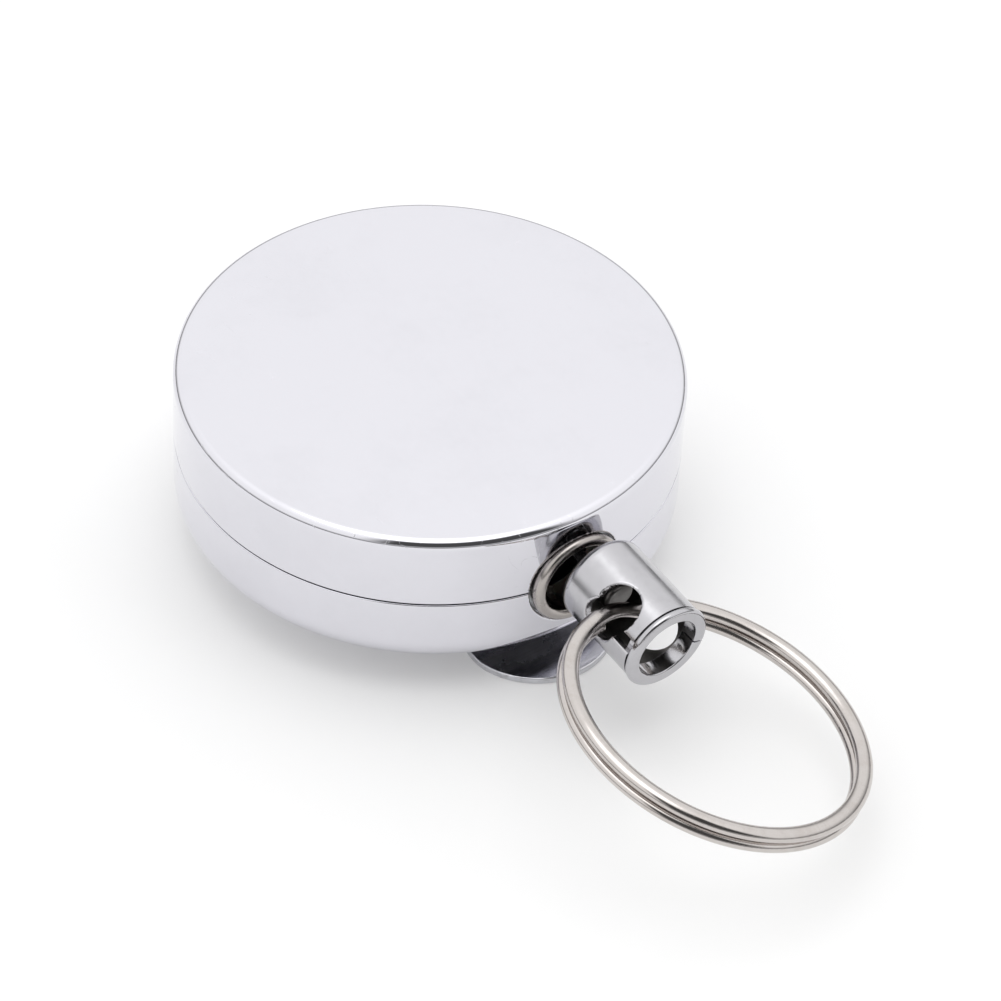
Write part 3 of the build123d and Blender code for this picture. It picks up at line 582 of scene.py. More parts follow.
def braid_group():
    """Two sets of strands that cross, from UV: U counts pitches along the cord, V goes once round.
    Height = the higher of |sin pi (U + n V)| and |sin pi (U - n V)|, taking turns over and under."""
    inputs = (("UV", VECTOR, None), ("Strands", FLOAT, 6.0))
    tree, given, out = empty_group("Cord braid", inputs, (("Height", FLOAT), ("Shade", FLOAT)))
    split = node(tree, "ShaderNodeSeparateXYZ", {0: given["UV"]})
    round_it = maths(tree, "MULTIPLY", split.outputs[1], given["Strands"])
    along = maths(tree, "MULTIPLY", split.outputs[0], 4.0)
    ways = []
    for operation in ("ADD", "SUBTRACT"):
        phase = maths(tree, "MULTIPLY", maths(tree, operation, along, round_it), math.pi)
        ways.append(maths(tree, "ABSOLUTE", maths(tree, "SINE", phase)))
    turns = maths(tree, "SINE", maths(tree, "MULTIPLY", along, 2 * math.pi))
    lift = maths(tree, "MULTIPLY", turns, 0.25)
    over, under = maths(tree, "ADD", ways[0], lift), maths(tree, "SUBTRACT", ways[1], lift)
    height = maths(tree, "MAXIMUM", over, under)
    tree.links.new(height, out["Height"])
    # Shade is painted shade: it darkens the colour between the strands, where the height is low
    tree.links.new(ranged(tree, height, 0.3, 1.1, 0.35, 1.0), out["Shade"])
    return tree


GROUP_MAKERS = {
    "Hair scratches": scratches_group, "Pin dents": dings_group, "Handling haze": haze_group,
    "Drawn lines": drawn_lines_group, "Surface grain": grain_group, "Tarnish": tarnish_group,
    "Cord braid": braid_group,
}


def use_group(tree, name, inputs):
    """Places a shared group in a material, built on first use."""
    shared = bpy.data.node_groups.get(name) or GROUP_MAKERS[name]()
    placed = tree.nodes.new("ShaderNodeGroup")
    placed.node_tree = shared
    for label, value in inputs.items():
        if isinstance(value, bpy.types.NodeSocket):
            tree.links.new(value, placed.inputs[label])
        else:
            placed.inputs[label].default_value = value
    return placed.outputs


# ---- materials ----------------------------------------------------------------------------
def empty_material(name, **plain):
    """Material with one Principled shader; plain values go on its own sockets."""
    made = bpy.data.materials.new(name)
    made.use_nodes = True
    tree = made.node_tree
    tree.nodes.clear()
    shader = tree.nodes.new("ShaderNodeBsdfPrincipled")
    for label, value in plain.items():
        shader.inputs[label.replace("_", " ")].default_value = value
    output = tree.nodes.new("ShaderNodeOutputMaterial")
    tree.links.new(shader.outputs[0], output.inputs["Surface"])
    return made, tree, shader.inputs


def millimetres(tree, origin=(0, 0, 0), rotation=(0, 0, 0)):
    """Object coordinates in millimetres, about an origin and a turn."""
    coordinates = tree.nodes.new("ShaderNodeTexCoord")
    centred = node(tree, "ShaderNodeVectorMath", {0: coordinates.outputs["Object"], 1: tuple(origin)},
                   operation="SUBTRACT")
    return node(tree, "ShaderNodeMapping", {"Vector": centred.outputs[0], "Rotation": tuple(rotation),
                                            "Scale": (PER_MM,) * 3}).outputs[0]


def polar(tree, vector, where):
    """Vector of (distance round, radius, height) about a place's axis, in millimetres."""
    origin, x, y, z = where
    flat = [node(tree, "ShaderNodeVectorMath", {0: vector, 1: tuple(axis)},
                 operation="DOT_PRODUCT").outputs["Value"] for axis in (x, y, z)]
    offset = [float(origin @ axis) * PER_MM for axis in (x, y, z)]
    across, up, height = (maths(tree, "SUBTRACT", value, shift) for value, shift in zip(flat, offset))
    radius = maths(tree, "SQRT", maths(tree, "ADD", maths(tree, "MULTIPLY", across, across),
                                       maths(tree, "MULTIPLY", up, up)))
    return node(tree, "ShaderNodeCombineXYZ", {0: maths(tree, "MULTIPLY", across, 0.02), 1: radius,
                                               2: height}).outputs[0]


def bumped(tree, shader, *heights):
    """Chains Bump nodes, one for each (height, distance in metres), into the shader's normal."""
    normal = None
    for height, distance in heights:
        bump = node(tree, "ShaderNodeBump", {"Height": height, "Distance": distance, "Strength": 1.0})
        if normal is not None:
            tree.links.new(normal, bump.inputs["Normal"])
        normal = bump.outputs["Normal"]
    tree.links.new(normal, shader["Normal"])


def polished_chrome(name, tint, low, high, scratch, ding_share):
    """Mirror plate: faint film, hair scratches and pin dents over a very slight swell."""
    made, tree, shader = empty_material(name, Metallic=1.0)
    where = millimetres(tree)
    haze = use_group(tree, "Handling haze", {"Vector": where, "Scale": 0.11, "Low": low, "High": high})
    marks = use_group(tree, "Hair scratches", {"Vector": where, "Scale": 0.5, "Width": 0.0035,
                                               "Amount": scratch})["Mask"]
    dings = use_group(tree, "Pin dents", {"Vector": where, "Scale": 0.30, "Size": 0.045,
                                          "Share": ding_share})
    grain = use_group(tree, "Surface grain", {"Vector": where, "Fine": 3.0, "Slow": 0.12})
    rough = maths(tree, "ADD", haze["Roughness"], maths(tree, "MULTIPLY", marks, 0.22), clamp=True)
    tree.links.new(rough, shader["Roughness"])
    worn = tuple(0.94 * channel for channel in tint)
    base = use_group(tree, "Tarnish", {"Vector": where, "Scale": 0.07, "Clean": (*tint, 1),
                                       "Worn": (*worn, 1), "Amount": 0.6})["Colour"]
    tree.links.new(base, shader["Base Color"])
    bumped(tree, shader, (grain["Swell"], 1.4e-6), (marks, -4e-6), (dings["Height"], 1.6e-5))
    return made


def satin_chrome(name, tint, where_axis, rough_low=0.15, rough_high=0.24):
    """Tumbled plate on a turned part: fine rings about its axis under soft grain."""
    made, tree, shader = empty_material(name, Metallic=1.0)
    where = millimetres(tree)
    rings = use_group(tree, "Drawn lines", {"Vector": polar(tree, where, where_axis), "Across": 9.0,
                                            "Along": 0.4})
    haze = use_group(tree, "Handling haze", {"Vector": where, "Scale": 0.55, "Low": rough_low,
                                             "High": rough_high})
    grain = use_group(tree, "Surface grain", {"Vector": where, "Fine": 9.0, "Slow": 0.6})
    marks = use_group(tree, "Hair scratches", {"Vector": where, "Scale": 0.8, "Width": 0.008,
                                               "Amount": 0.55})["Mask"]
    tree.links.new(haze["Roughness"], shader["Roughness"])
    worn = tuple(0.82 * channel for channel in tint)
    base = use_group(tree, "Tarnish", {"Vector": where, "Scale": 0.9, "Clean": (*tint, 1),
                                       "Worn": (*worn, 1), "Amount": 0.3})["Colour"]
    tree.links.new(base, shader["Base Color"])
    bumped(tree, shader, (grain["Swell"], 3e-6), (rings["Lines"], 6e-7), (grain["Grain"], 4e-7),
           (marks, -2e-6))
    return made


def warm_nickel(name, tint, shade, where_axis, rough_low=0.1, rough_high=0.2):
    """Nickel plate on drawn wire: lines along the wire, soft film and darker drifts."""
    made, tree, shader = empty_material(name, Metallic=1.0)
    where = millimetres(tree)
    along = polar(tree, where, where_axis)
    lines = use_group(tree, "Drawn lines", {"Vector": along, "Across": 7.0, "Along": 0.5})
    haze = use_group(tree, "Handling haze", {"Vector": where, "Scale": 0.5, "Low": rough_low,
                                             "High": rough_high})
    grain = use_group(tree, "Surface grain", {"Vector": where, "Fine": 8.0, "Slow": 0.5})
    marks = use_group(tree, "Hair scratches", {"Vector": where, "Scale": 0.9, "Width": 0.008,
                                               "Amount": 0.6})["Mask"]
    tree.links.new(haze["Roughness"], shader["Roughness"])
    base = use_group(tree, "Tarnish", {"Vector": where, "Scale": 0.45, "Clean": (*tint, 1),
                                       "Worn": (*shade, 1), "Amount": 0.45})["Colour"]
    tree.links.new(base, shader["Base Color"])
    bumped(tree, shader, (grain["Swell"], 6e-6), (lines["Lines"], 1.2e-6), (grain["Grain"], 5e-7),
           (marks, -2e-6))
    return made


def rolled_steel(name, tint, low=0.1, high=0.2, across=2.2):
    """Plated strip with rolling streaks across its width."""
    made, tree, shader = empty_material(name, Metallic=1.0)
    where = millimetres(tree, rotation=(0, 0, math.radians(90)))
    lines = use_group(tree, "Drawn lines", {"Vector": where, "Across": across, "Along": 0.06})
    haze = use_group(tree, "Handling haze", {"Vector": where, "Scale": 0.4, "Low": low, "High": high})
    marks = use_group(tree, "Hair scratches", {"Vector": where, "Scale": 0.7, "Width": 0.007,
                                               "Amount": 0.7})["Mask"]
    rough = maths(tree, "ADD", haze["Roughness"], maths(tree, "MULTIPLY", lines["Bands"], 0.16), clamp=True)
    tree.links.new(rough, shader["Roughness"])
    worn = tuple(0.6 * channel for channel in tint)
    drawn = node(tree, "ShaderNodeMapping", {"Vector": where, "Scale": (0.03, 1.0, 1.0)}).outputs[0]
    base = use_group(tree, "Tarnish", {"Vector": drawn, "Scale": 1.1, "Clean": (*tint, 1),
                                       "Worn": (*worn, 1), "Amount": 0.8})["Colour"]
    tree.links.new(base, shader["Base Color"])
    bumped(tree, shader, (lines["Bands"], 4e-6), (lines["Lines"], 3e-6), (marks, -2e-6))
    return made


def plated_steel(name, tint, shade, low=0.25, high=0.45):
    """Plain plated or bare steel of an inner part, with grain and stains."""
    made, tree, shader = empty_material(name, Metallic=1.0)
    where = millimetres(tree)
    haze = use_group(tree, "Handling haze", {"Vector": where, "Scale": 0.6, "Low": low, "High": high})
    grain = use_group(tree, "Surface grain", {"Vector": where, "Fine": 10.0, "Slow": 0.8})
    tree.links.new(haze["Roughness"], shader["Roughness"])
    base = use_group(tree, "Tarnish", {"Vector": where, "Scale": 0.8, "Clean": (*tint, 1),
                                       "Worn": (*shade, 1), "Amount": 0.8})["Colour"]
    tree.links.new(base, shader["Base Color"])
    bumped(tree, shader, (grain["Swell"], 5e-6), (grain["Grain"], 1.5e-6))
    return made


def moulded_nylon(name, tint):
    """Moulded plastic with a fine spark-eroded grain."""
    made, tree, shader = empty_material(name, Metallic=0.0, IOR=1.53, Subsurface_Weight=0.08,
                                        Subsurface_Scale=0.5 * MM)
    where = millimetres(tree)
    haze = use_group(tree, "Handling haze", {"Vector": where, "Scale": 0.5, "Low": 0.42, "High": 0.6})
    grain = use_group(tree, "Surface grain", {"Vector": where, "Fine": 12.0, "Slow": 0.7})
    tree.links.new(haze["Roughness"], shader["Roughness"])
    worn = tuple(0.86 * channel for channel in tint)
    base = use_group(tree, "Tarnish", {"Vector": where, "Scale": 0.6, "Clean": (*tint, 1),
                                       "Worn": (*worn, 1), "Amount": 0.6})["Colour"]
    tree.links.new(base, shader["Base Color"])
    bumped(tree, shader, (grain["Swell"], 4e-6), (grain["Grain"], 4e-6))
    return made


def braided_cord(name, tint, mapped):
    """Braided filament cord. A mapped piece has strands from its UV map; others have filament grain."""
    made, tree, shader = empty_material(name, Metallic=0.0, Sheen_Weight=0.25, Sheen_Roughness=0.4)
    where = millimetres(tree)
    haze = use_group(tree, "Handling haze", {"Vector": where, "Scale": 2.0, "Low": 0.45, "High": 0.65})
    tree.links.new(haze["Roughness"], shader["Roughness"])
    grain = use_group(tree, "Surface grain", {"Vector": where, "Fine": 16.0, "Slow": 2.0})
    heights = [(grain["Grain"], 8e-6)]
    pale = tuple(min(1.0, 2.2 * channel) for channel in tint)
    base = use_group(tree, "Tarnish", {"Vector": where, "Scale": 3.0, "Clean": (*tint, 1),
                                       "Worn": (*pale, 1), "Amount": 0.7})["Colour"]
    if mapped:
        uv = node(tree, "ShaderNodeUVMap", uv_map="UVMap").outputs[0]
        strands = use_group(tree, "Cord braid", {"UV": uv, "Strands": 8.0})
        heights.insert(0, (strands["Height"], 5e-5))
        # Painted shade: the cord's colour is darkened between the strands of the braid
        groove_shaded = node(tree, "ShaderNodeVectorMath", {0: base, 3: strands["Shade"]}, operation="SCALE")
        base = groove_shaded.outputs[0]
    tree.links.new(base, shader["Base Color"])
    bumped(tree, shader, *heights)
    return made


# ---- operators ----------------------------------------------------------------------------
class REEL_OT_covers(bpy.types.Operator):
    """Build the two drawn covers, with the outlet's half circle in each rim"""

    bl_idname = "reel.covers"
    bl_label = "Covers"

    def execute(self, context):
        sizes = context.scene.reel_sizes
        finish = context.scene.reel_finishes
        front_low, front_high = low_high("front_cover")
        back_low, back_high = low_high("back_cover")
        outlet = outlet_place()[0]
        radius = front_high[0]
        bore = radius - sizes.case_wall
        opening = low_high("outlet_eyelet")[1][1] - outlet[1] + sizes.outlet_gap
        fine = 0.1 * MM
        angles = round_angles(math.asin(opening / radius) * 1.15, fine / radius, math.radians(0.9))
        rivets = rivet_places(sizes)

        def cut(angle, at_radius, height):
            across, out = at_radius * np.sin(angle), at_radius * np.cos(angle)
            outlet_edge = np.hypot(across - outlet[1], height - outlet[2]) - opening
            return np.where(out > 0, outlet_edge, 1.0)

        def drilled(angle, at_radius, height):
            across, out = at_radius * np.sin(angle), at_radius * np.cos(angle)
            holes = [np.hypot(out - x, across) - sizes.rivet_shank for x in rivets]
            floor = height < back_low[2] + 1.5 * sizes.case_wall
            return np.minimum(cut(angle, at_radius, height), np.where(floor, np.min(holes, axis=0), 1.0))

        chrome = polished_chrome("case_chrome", tuple(finish.case_chrome), 0.035, 0.075, 0.55, 0.5)
        ease = sizes.rim_ease
        top, rim = front_high[2], front_low[2]
        outside = rounded([(bore + 2 * ease, rim), (radius, rim), (radius, top), (0, top)],
                          [0, ease, sizes.front_round, 0], steps=24)
        inside = rounded([(bore, rim), (bore, top - sizes.case_wall), (0, top - sizes.case_wall)],
                         [0, 0.25 * ease, 0])
        start = radius - bore - 2 * ease - ease
        ends = run_of(outside)[-1]
        wall = start + ease * math.pi / 2 + (top - sizes.front_round - rim - ease)
        corner = wall + sizes.front_round * math.pi / 2
        runs = joined(spaced(0, start, MM), spaced(start, start + ease * math.pi / 2, ease / 3),
                      spaced(start + ease * math.pi / 2, wall, fine),
                      spaced(wall, corner, sizes.front_round / 9), spaced(corner, ends, 5 * MM))
        inner_end = run_of(inside)[-1]
        side = start + ease * math.pi / 2
        past_corner = top - sizes.case_wall - rim + 0.4 * MM
        inner_runs = np.interp(runs, [0, side, wall, corner, ends],
                               [0, ease, wall - side + ease, past_corner, inner_end])
        front = walled(outside, inside, runs, inner_runs, upright(), angles, cut, sizes.cut_ease)
        new_piece("front_shell", [front], chrome, "case", ["front_cover"])

        bottom, rim = back_low[2], back_high[2]
        turn_radius = sizes.back_round
        outside = rounded([(sizes.post_hole, bottom), (radius, bottom), (radius, rim),
                           (bore + 2 * ease, rim)], [0, turn_radius, ease, 0], steps=24)
        inside = rounded([(sizes.post_hole, bottom + sizes.case_wall), (bore, bottom + sizes.case_wall),
                          (bore, rim)], [0, turn_radius - sizes.case_wall, 0], steps=24)
        flat = radius - turn_radius - sizes.post_hole
        corner = flat + turn_radius * math.pi / 2
        inner_corner = flat + (turn_radius - sizes.case_wall) * math.pi / 2
        wall = corner + (rim - bottom - turn_radius - ease)
        eased = wall + ease * math.pi / 2
        ends = run_of(outside)[-1]
        runs = joined(spaced(0, flat, 0.4 * MM), spaced(flat, corner, 0.2 * MM), spaced(corner, wall, fine),
                      spaced(wall, eased, ease / 3), spaced(eased, ends, MM))
        inner_end = run_of(inside)[-1]
        inner_runs = np.interp(runs, [0, flat, corner, wall, ends],
                               [0, flat, inner_corner, inner_end - ease, inner_end])
        back = walled(outside, inside, runs, inner_runs, upright(), angles, drilled, sizes.cut_ease)
        new_piece("back_shell", [back], chrome, "case", ["back_cover"])
        return {"FINISHED"}


class REEL_OT_eyelet(bpy.types.Operator):
    """Build the bell-mouthed eyelet that the cord comes out of"""

    bl_idname = "reel.eyelet"
    bl_label = "Outlet eyelet"

    def execute(self, context):
        sizes = context.scene.reel_sizes
        finish = context.scene.reel_finishes
        low, high = low_high("outlet_eyelet")
        where = outlet_place()
        lip = high[1] - where[0][1]
        front, rear = high[0], low[0]
        back = front - sizes.lip_depth
        bore, barrel = sizes.eyelet_bore, sizes.eyelet_bore + sizes.eyelet_wall
        neck, swage = barrel + sizes.eyelet_neck, barrel + sizes.swage_rim
        seat = low_high("front_cover")[1][0] - sizes.case_wall
        corners = [(bore, rear), (swage, rear), (swage, rear + sizes.swage_depth),
                   (barrel, rear + sizes.swage_depth), (barrel, seat), (neck, seat), (neck, back),
                   (lip, back), (lip, front), (bore, front)]
        radii = [0.1 * MM, 0.12 * MM, 0.12 * MM, 0, 0, 0, 0, sizes.lip_back_round, sizes.lip_round,
                 sizes.lip_round]
        profile = rounded(corners, radii, steps=12, closed=True)
        tint = tuple(finish.eyelet_nickel)
        shade = tuple(0.8 * channel for channel in tint)
        nickel = warm_nickel("eyelet_nickel", tint, shade, where, 0.2, 0.32)
        angles = spaced(0, 2 * math.pi, math.radians(2))[:-1]
        new_piece("eyelet_bush", [lathe(profile, where, angles, loop=True)], nickel, "case",
                  ["outlet_eyelet"])
        return {"FINISHED"}


class REEL_OT_connector(bpy.types.Operator):
    """Build the tube that joins the cord to the ring, and the slit collar in its open end"""

    bl_idname = "reel.connector"
    bl_label = "Connector"

    def execute(self, context):
        sizes = context.scene.reel_sizes
        finish = context.scene.reel_finishes
        where = connector_place()
        origin, x, y, z = where
        swing = JOINTS["ring_swing"]
        swing_roll = math.atan2(np.array(swing["axis"]) @ y, np.array(swing["axis"]) @ x)
        swing_at = (np.array(swing["pos_m"]) - origin) @ z
        outer, bore, end = sizes.tube_radius, sizes.tube_bore, sizes.tube_length

        def cut(angle, radius, height):
            cross = np.hypot(radius * np.sin(angle - sizes.cross_hole_roll), height - sizes.cross_hole_at)
            own = np.hypot(radius * np.sin(angle - swing_roll), height - swing_at)
            slot = np.maximum(np.abs(radius * np.sin(angle - sizes.slot_roll)) - sizes.slot_width / 2,
                              sizes.cross_hole_at - height)
            slot = np.where(np.cos(angle - sizes.slot_roll) > 0, slot, 1.0)
            return np.minimum(np.minimum(cross - sizes.cross_hole, own - sizes.swing_hole), slot)

        outside = rounded([(sizes.cord_hole, 0), (outer, 0), (outer, end)], [0, sizes.tube_round, 0],
                          steps=24)
        inside = rounded([(sizes.cord_hole, sizes.tube_end_wall), (bore, sizes.tube_end_wall), (bore, end)],
                         [0, 0.2 * MM, 0])
        face = outer - sizes.tube_round - sizes.cord_hole
        corner = face + sizes.tube_round * math.pi / 2
        ends, inner_ends = run_of(outside)[-1], run_of(inside)[-1]
        fine = 0.085 * MM
        runs = joined(spaced(0, face, 0.3 * MM), spaced(face, corner, 0.14 * MM), spaced(corner, ends, fine))
        meet = corner + sizes.tube_end_wall
        inner_runs = np.interp(runs, [0, meet, ends], [0, inner_ends - (ends - meet), inner_ends])
        angles = spaced(0, 2 * math.pi, fine / outer)[:-1]
        tube = walled(outside, inside, runs, inner_runs, where, angles, cut, 0.1 * MM)
        satin = satin_chrome("connector_chrome", tuple(finish.connector_chrome), where)
        piece = new_piece("connector_tube", [tube], satin, "connector",
                          ["connector_body"])
        # The bore's inner faces get a dark colour: dull plate, plus painted shade for the shadow inside the
        # tube
        bore_shade_tint = tuple(finish.tube_inside_shade)
        worn = tuple(0.6 * channel for channel in bore_shade_tint)
        lined(piece, where, bore + 0.05 * MM, sizes.tube_end_wall / 2,
              plated_steel("connector_inside", bore_shade_tint, worn, 0.3, 0.45))

        lip = end + sizes.collar_gap
        rim = lip + sizes.collar_flange
        inner, flange = sizes.collar_bore, sizes.collar_radius
        easing = sizes.collar_round
        corners = [(inner, end - sizes.collar_spigot), (bore, end - sizes.collar_spigot), (bore, lip),
                   (flange, lip), (flange, rim), (inner, rim)]
        radii = [0.05 * MM, 0.08 * MM, 0, easing, easing, easing / 2]
        profile = rounded(corners, radii, steps=8, closed=True)
        half = sizes.collar_slit / 2 / flange
        angles = spaced(sizes.collar_slit_roll + half, sizes.collar_slit_roll + 2 * math.pi - half,
                        math.radians(2))
        angle, radius = np.meshgrid(angles, np.append(profile[:, 0], profile[0, 0]))
        height = np.meshgrid(angles, np.append(profile[:, 1], profile[0, 1]))[1]
        points = turned(where, angle, radius, height).reshape(-1, 3)
        faces = outward(points, quads(*angle.shape))
        columns = len(angles)
        first = np.arange(len(profile)) * columns
        ends_of_slit = [first[::-1], first + columns - 1]
        if faces[0, 0] != 0:
            ends_of_slit = [first, first[::-1] + columns - 1]
        collar = (points, faces.tolist() + [cap.tolist() for cap in ends_of_slit])
        bright = satin_chrome("collar_chrome", tuple(finish.connector_chrome), where, 0.1, 0.2)
        new_piece("collar_ring", [collar], bright, "connector", ["connector_collar"])
        return {"FINISHED"}


class REEL_OT_split_ring(bpy.types.Operator):
    """Wind the split ring: two turns of flattened wire that cross over once"""

    bl_idname = "reel.split_ring"
    bl_label = "Split ring"

    def execute(self, context):
        sizes = context.scene.reel_sizes
        finish = context.scene.reel_finishes
        where = ring_place()
        section = spaced(0, 2 * math.pi, math.radians(8))[:-1]
        wide, high = sizes.wire_width / 2, (sizes.wire_height - sizes.coil_gap) / 2
        out, up = wide * np.cos(section), high * np.sin(section)
        mean = sizes.ring_radius - wide
        clearance = 0.25 * MM / mean
        start = sizes.ring_crossing_end + clearance
        cross = sizes.ring_crossing_start + 2 * math.pi
        crossed = sizes.ring_crossing_end + 2 * math.pi
        finish_at = sizes.ring_crossing_start + 4 * math.pi - clearance
        easing = 0.12 * MM / mean
        cap = np.array([0.0, 0.0, 0.25, 0.55, 1.0]) * easing
        size = np.array([0.0, 0.82, 0.93, 0.98, 1.0])
        middle = spaced(start + easing, finish_at - easing, math.radians(1.2))
        turns = np.concatenate([start + cap[:-1], middle, finish_at - cap[-2::-1]])
        scale = np.concatenate([size[:-1], np.ones(len(middle)), size[-2::-1]])[:, None]
        part = np.clip((turns - cross) / (crossed - cross), 0, 1)
        lift = sizes.wire_height * (part * part * (3 - 2 * part) - 0.5)
        angle = np.broadcast_to(turns[:, None], (len(turns), len(section)))
        points = turned(where, angle, mean + scale * out, lift[:, None] + scale * up).reshape(-1, 3)
        faces = outward(points, quads(len(turns), len(section), wrap=True))
        nickel = warm_nickel("ring_nickel", tuple(finish.ring_nickel), tuple(finish.nickel_shade), where)
        new_piece("key_ring_wire", [(points, faces)], nickel, "key_ring", ["split_ring"])
        return {"FINISHED"}


def rivet_places(sizes):
    """X of each rivet, from the ends of the rivets' box."""
    low, high = low_high("clip_rivets")
    return low[0] + sizes.rivet_head, high[0] - sizes.rivet_head


class REEL_OT_belt_clip(bpy.types.Operator):
    """Bend the belt clip out of one flat blank, and set its rivets"""

    bl_idname = "reel.belt_clip"
    bl_label = "Belt clip"

    def execute(self, context):
        sizes = context.scene.reel_sizes
        finish = context.scene.reel_finishes
        base_high = low_high("clip_base")[1]
        tongue_low, tongue_high = low_high("clip_tongue")
        half = sizes.clip_thickness / 2
        width = base_high[1]
        upper, lower = base_high[2] - half, half
        bend = (upper - lower) / 2
        bend_x = tongue_low[0] + half + bend
        crest = tongue_high[0] - sizes.clip_ridge_back
        around = spaced(math.pi / 2, 1.5 * math.pi, math.radians(6))
        arc = np.stack([bend_x + bend * np.cos(around), lower + bend + bend * np.sin(around)], -1)
        along = spaced(bend_x, tongue_high[0], 0.2 * MM)[1:]
        swell = np.clip((along - crest) / sizes.clip_ridge_length, -0.5, 0.5)
        rise = lower + sizes.clip_ridge_rise * (1 + np.cos(2 * math.pi * swell)) / 2
        line = np.concatenate([[(base_high[0], upper)], arc, np.stack([along, rise], -1)])
        total = run_of(line)[-1]

        tip = width - 0.02 * MM
        corner = sizes.clip_corner
        blank = rounded([(0, 0), (0, width), (total - tip, width), (total - tip, width)],
                        [0, corner, 0, 0], steps=12)[1:-1]
        swing = np.linspace(0, math.pi / 2, 40)[1:]
        nose = np.stack([total - tip + tip * np.sin(swing), width * np.cos(swing)], -1)
        straight = spaced(corner, total - tip, 0.2 * MM)[1:]
        outline = np.concatenate([blank[:-1], np.stack([straight, np.full(len(straight), width)], -1), nose])
        direction = np.gradient(outline, axis=0)
        direction /= np.linalg.norm(direction, axis=1, keepdims=True)
        normal = np.stack([-direction[:, 1], direction[:, 0]], -1)
        normal[0], normal[-1] = (-1, 0), (1, 0)
        edge = sizes.clip_edge
        roll = np.linspace(-math.pi / 2, math.pi / 2, 9)
        inset = edge * (1 - np.cos(roll))
        lift = np.sign(roll) * (half - edge) + edge * np.sin(roll)
        lift[len(lift) // 2] = 0
        right = outline[:, None, :] - normal[:, None, :] * inset[None, :, None]
        run = np.concatenate([right[..., 0], right[:, ::-1, 0]], axis=1)
        across = np.concatenate([right[..., 1], -right[:, ::-1, 1]], axis=1)
        height = np.broadcast_to(np.concatenate([lift, lift[::-1]]), run.shape)
        spot = at_run(line, run)
        ahead = at_run(line, run + 0.05 * MM) - at_run(line, run - 0.05 * MM)
        ahead /= np.linalg.norm(ahead, axis=-1, keepdims=True)
        points = np.stack([spot[..., 0] - height * ahead[..., 1], across,
                           spot[..., 1] + height * ahead[..., 0]], -1).reshape(-1, 3)
        columns = run.shape[1]
        count = columns // 2
        k = np.arange(count - 1)
        end_face = np.stack([k + 1, k, columns - 1 - k, columns - 2 - k], -1)
        faces = np.concatenate([quads(len(run), columns, wrap=True), end_face])
        steel = rolled_steel("clip_steel", tuple(finish.clip_steel))
        clip = new_piece("belt_clip_strip", [(points, outward(points, faces))], steel, None,
                         ["clip_base", "clip_tongue"])
        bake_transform(clip)

        rivet_low, rivet_high = low_high("clip_rivets")
        base = rivet_low[2] + sizes.rivet_height
        floor = rivet_high[2] - sizes.rivet_height
        corners = [(0, rivet_low[2]), (sizes.rivet_head, rivet_low[2]), (sizes.rivet_head, base),
                   (sizes.rivet_shank, base), (sizes.rivet_shank, floor), (sizes.rivet_head, floor),
                   (sizes.rivet_head, rivet_high[2]), (sizes.rivet_bore, rivet_high[2]),
                   (sizes.rivet_bore, base_high[2]), (0, base_high[2])]
        easing = sizes.rivet_round
        profile = rounded(corners, [0, easing, 0.04 * MM, 0, 0, 0.04 * MM, easing, 0.1 * MM, 0, 0], steps=8)
        angles = spaced(0, 2 * math.pi, math.radians(5))[:-1]
        rivets = [lathe(profile, upright(x), angles) for x in rivet_places(sizes)]
        plate = plated_steel("rivet_steel", tuple(finish.clip_steel), tuple(finish.zinc), 0.14, 0.3)
        new_piece("rivet_pair", rivets, plate, "case", ["clip_rivets"])
        return {"FINISHED"}


class REEL_OT_cord(bpy.types.Operator):
    """Lay the cord's moving end from the eyelet into the connector"""

    bl_idname = "reel.cord"
    bl_label = "Cord"

    def execute(self, context):
        sizes = context.scene.reel_sizes
        finish = context.scene.reel_finishes
        low, high = low_high("cord_lead")
        origin, _, _, z = connector_place()
        start = np.array([low[0], origin[1], origin[2]])
        inside = (high[0] - origin[0]) / z[0] - sizes.cord_radius * 0.1
        line = rounded([start, origin, origin + z * inside], [0, sizes.cord_bend, 0], steps=16)
        run = spaced(0, run_of(line)[-1], 0.04 * MM)
        centre = at_run(line, run)
        ahead = np.gradient(centre, axis=0)
        ahead /= np.linalg.norm(ahead, axis=1, keepdims=True)
        side = np.broadcast_to(np.array([0.0, 1.0, 0.0]), ahead.shape)
        top = np.cross(ahead, side)
        top /= np.linalg.norm(top, axis=1, keepdims=True)
        side = np.cross(top, ahead)
        around = np.linspace(0, 2 * math.pi, 33)
        size = np.ones(len(run))
        size[[0, -1]] = 0
        reach = (sizes.cord_radius * size)[:, None, None]
        centre[0], centre[-1] = centre[1], centre[-2]
        across, up = (wave(around)[None, :, None] for wave in (np.cos, np.sin))
        section = across * side[:, None, :] + up * top[:, None, :]
        points = (centre[:, None, :] + reach * section).reshape(-1, 3)
        uv = np.stack(np.broadcast_arrays((run / sizes.braid_pitch)[:, None],
                                          (around / (2 * math.pi))[None, :]), -1).reshape(-1, 2)
        faces = outward(points, quads(len(run), len(around)))
        braid = braided_cord("cord_braid", tuple(finish.cord), mapped=True)
        lead = new_piece("cord_end_length", [(points, faces)], braid, None, ["cord_lead"], uv)
        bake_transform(lead)
        return {"FINISHED"}


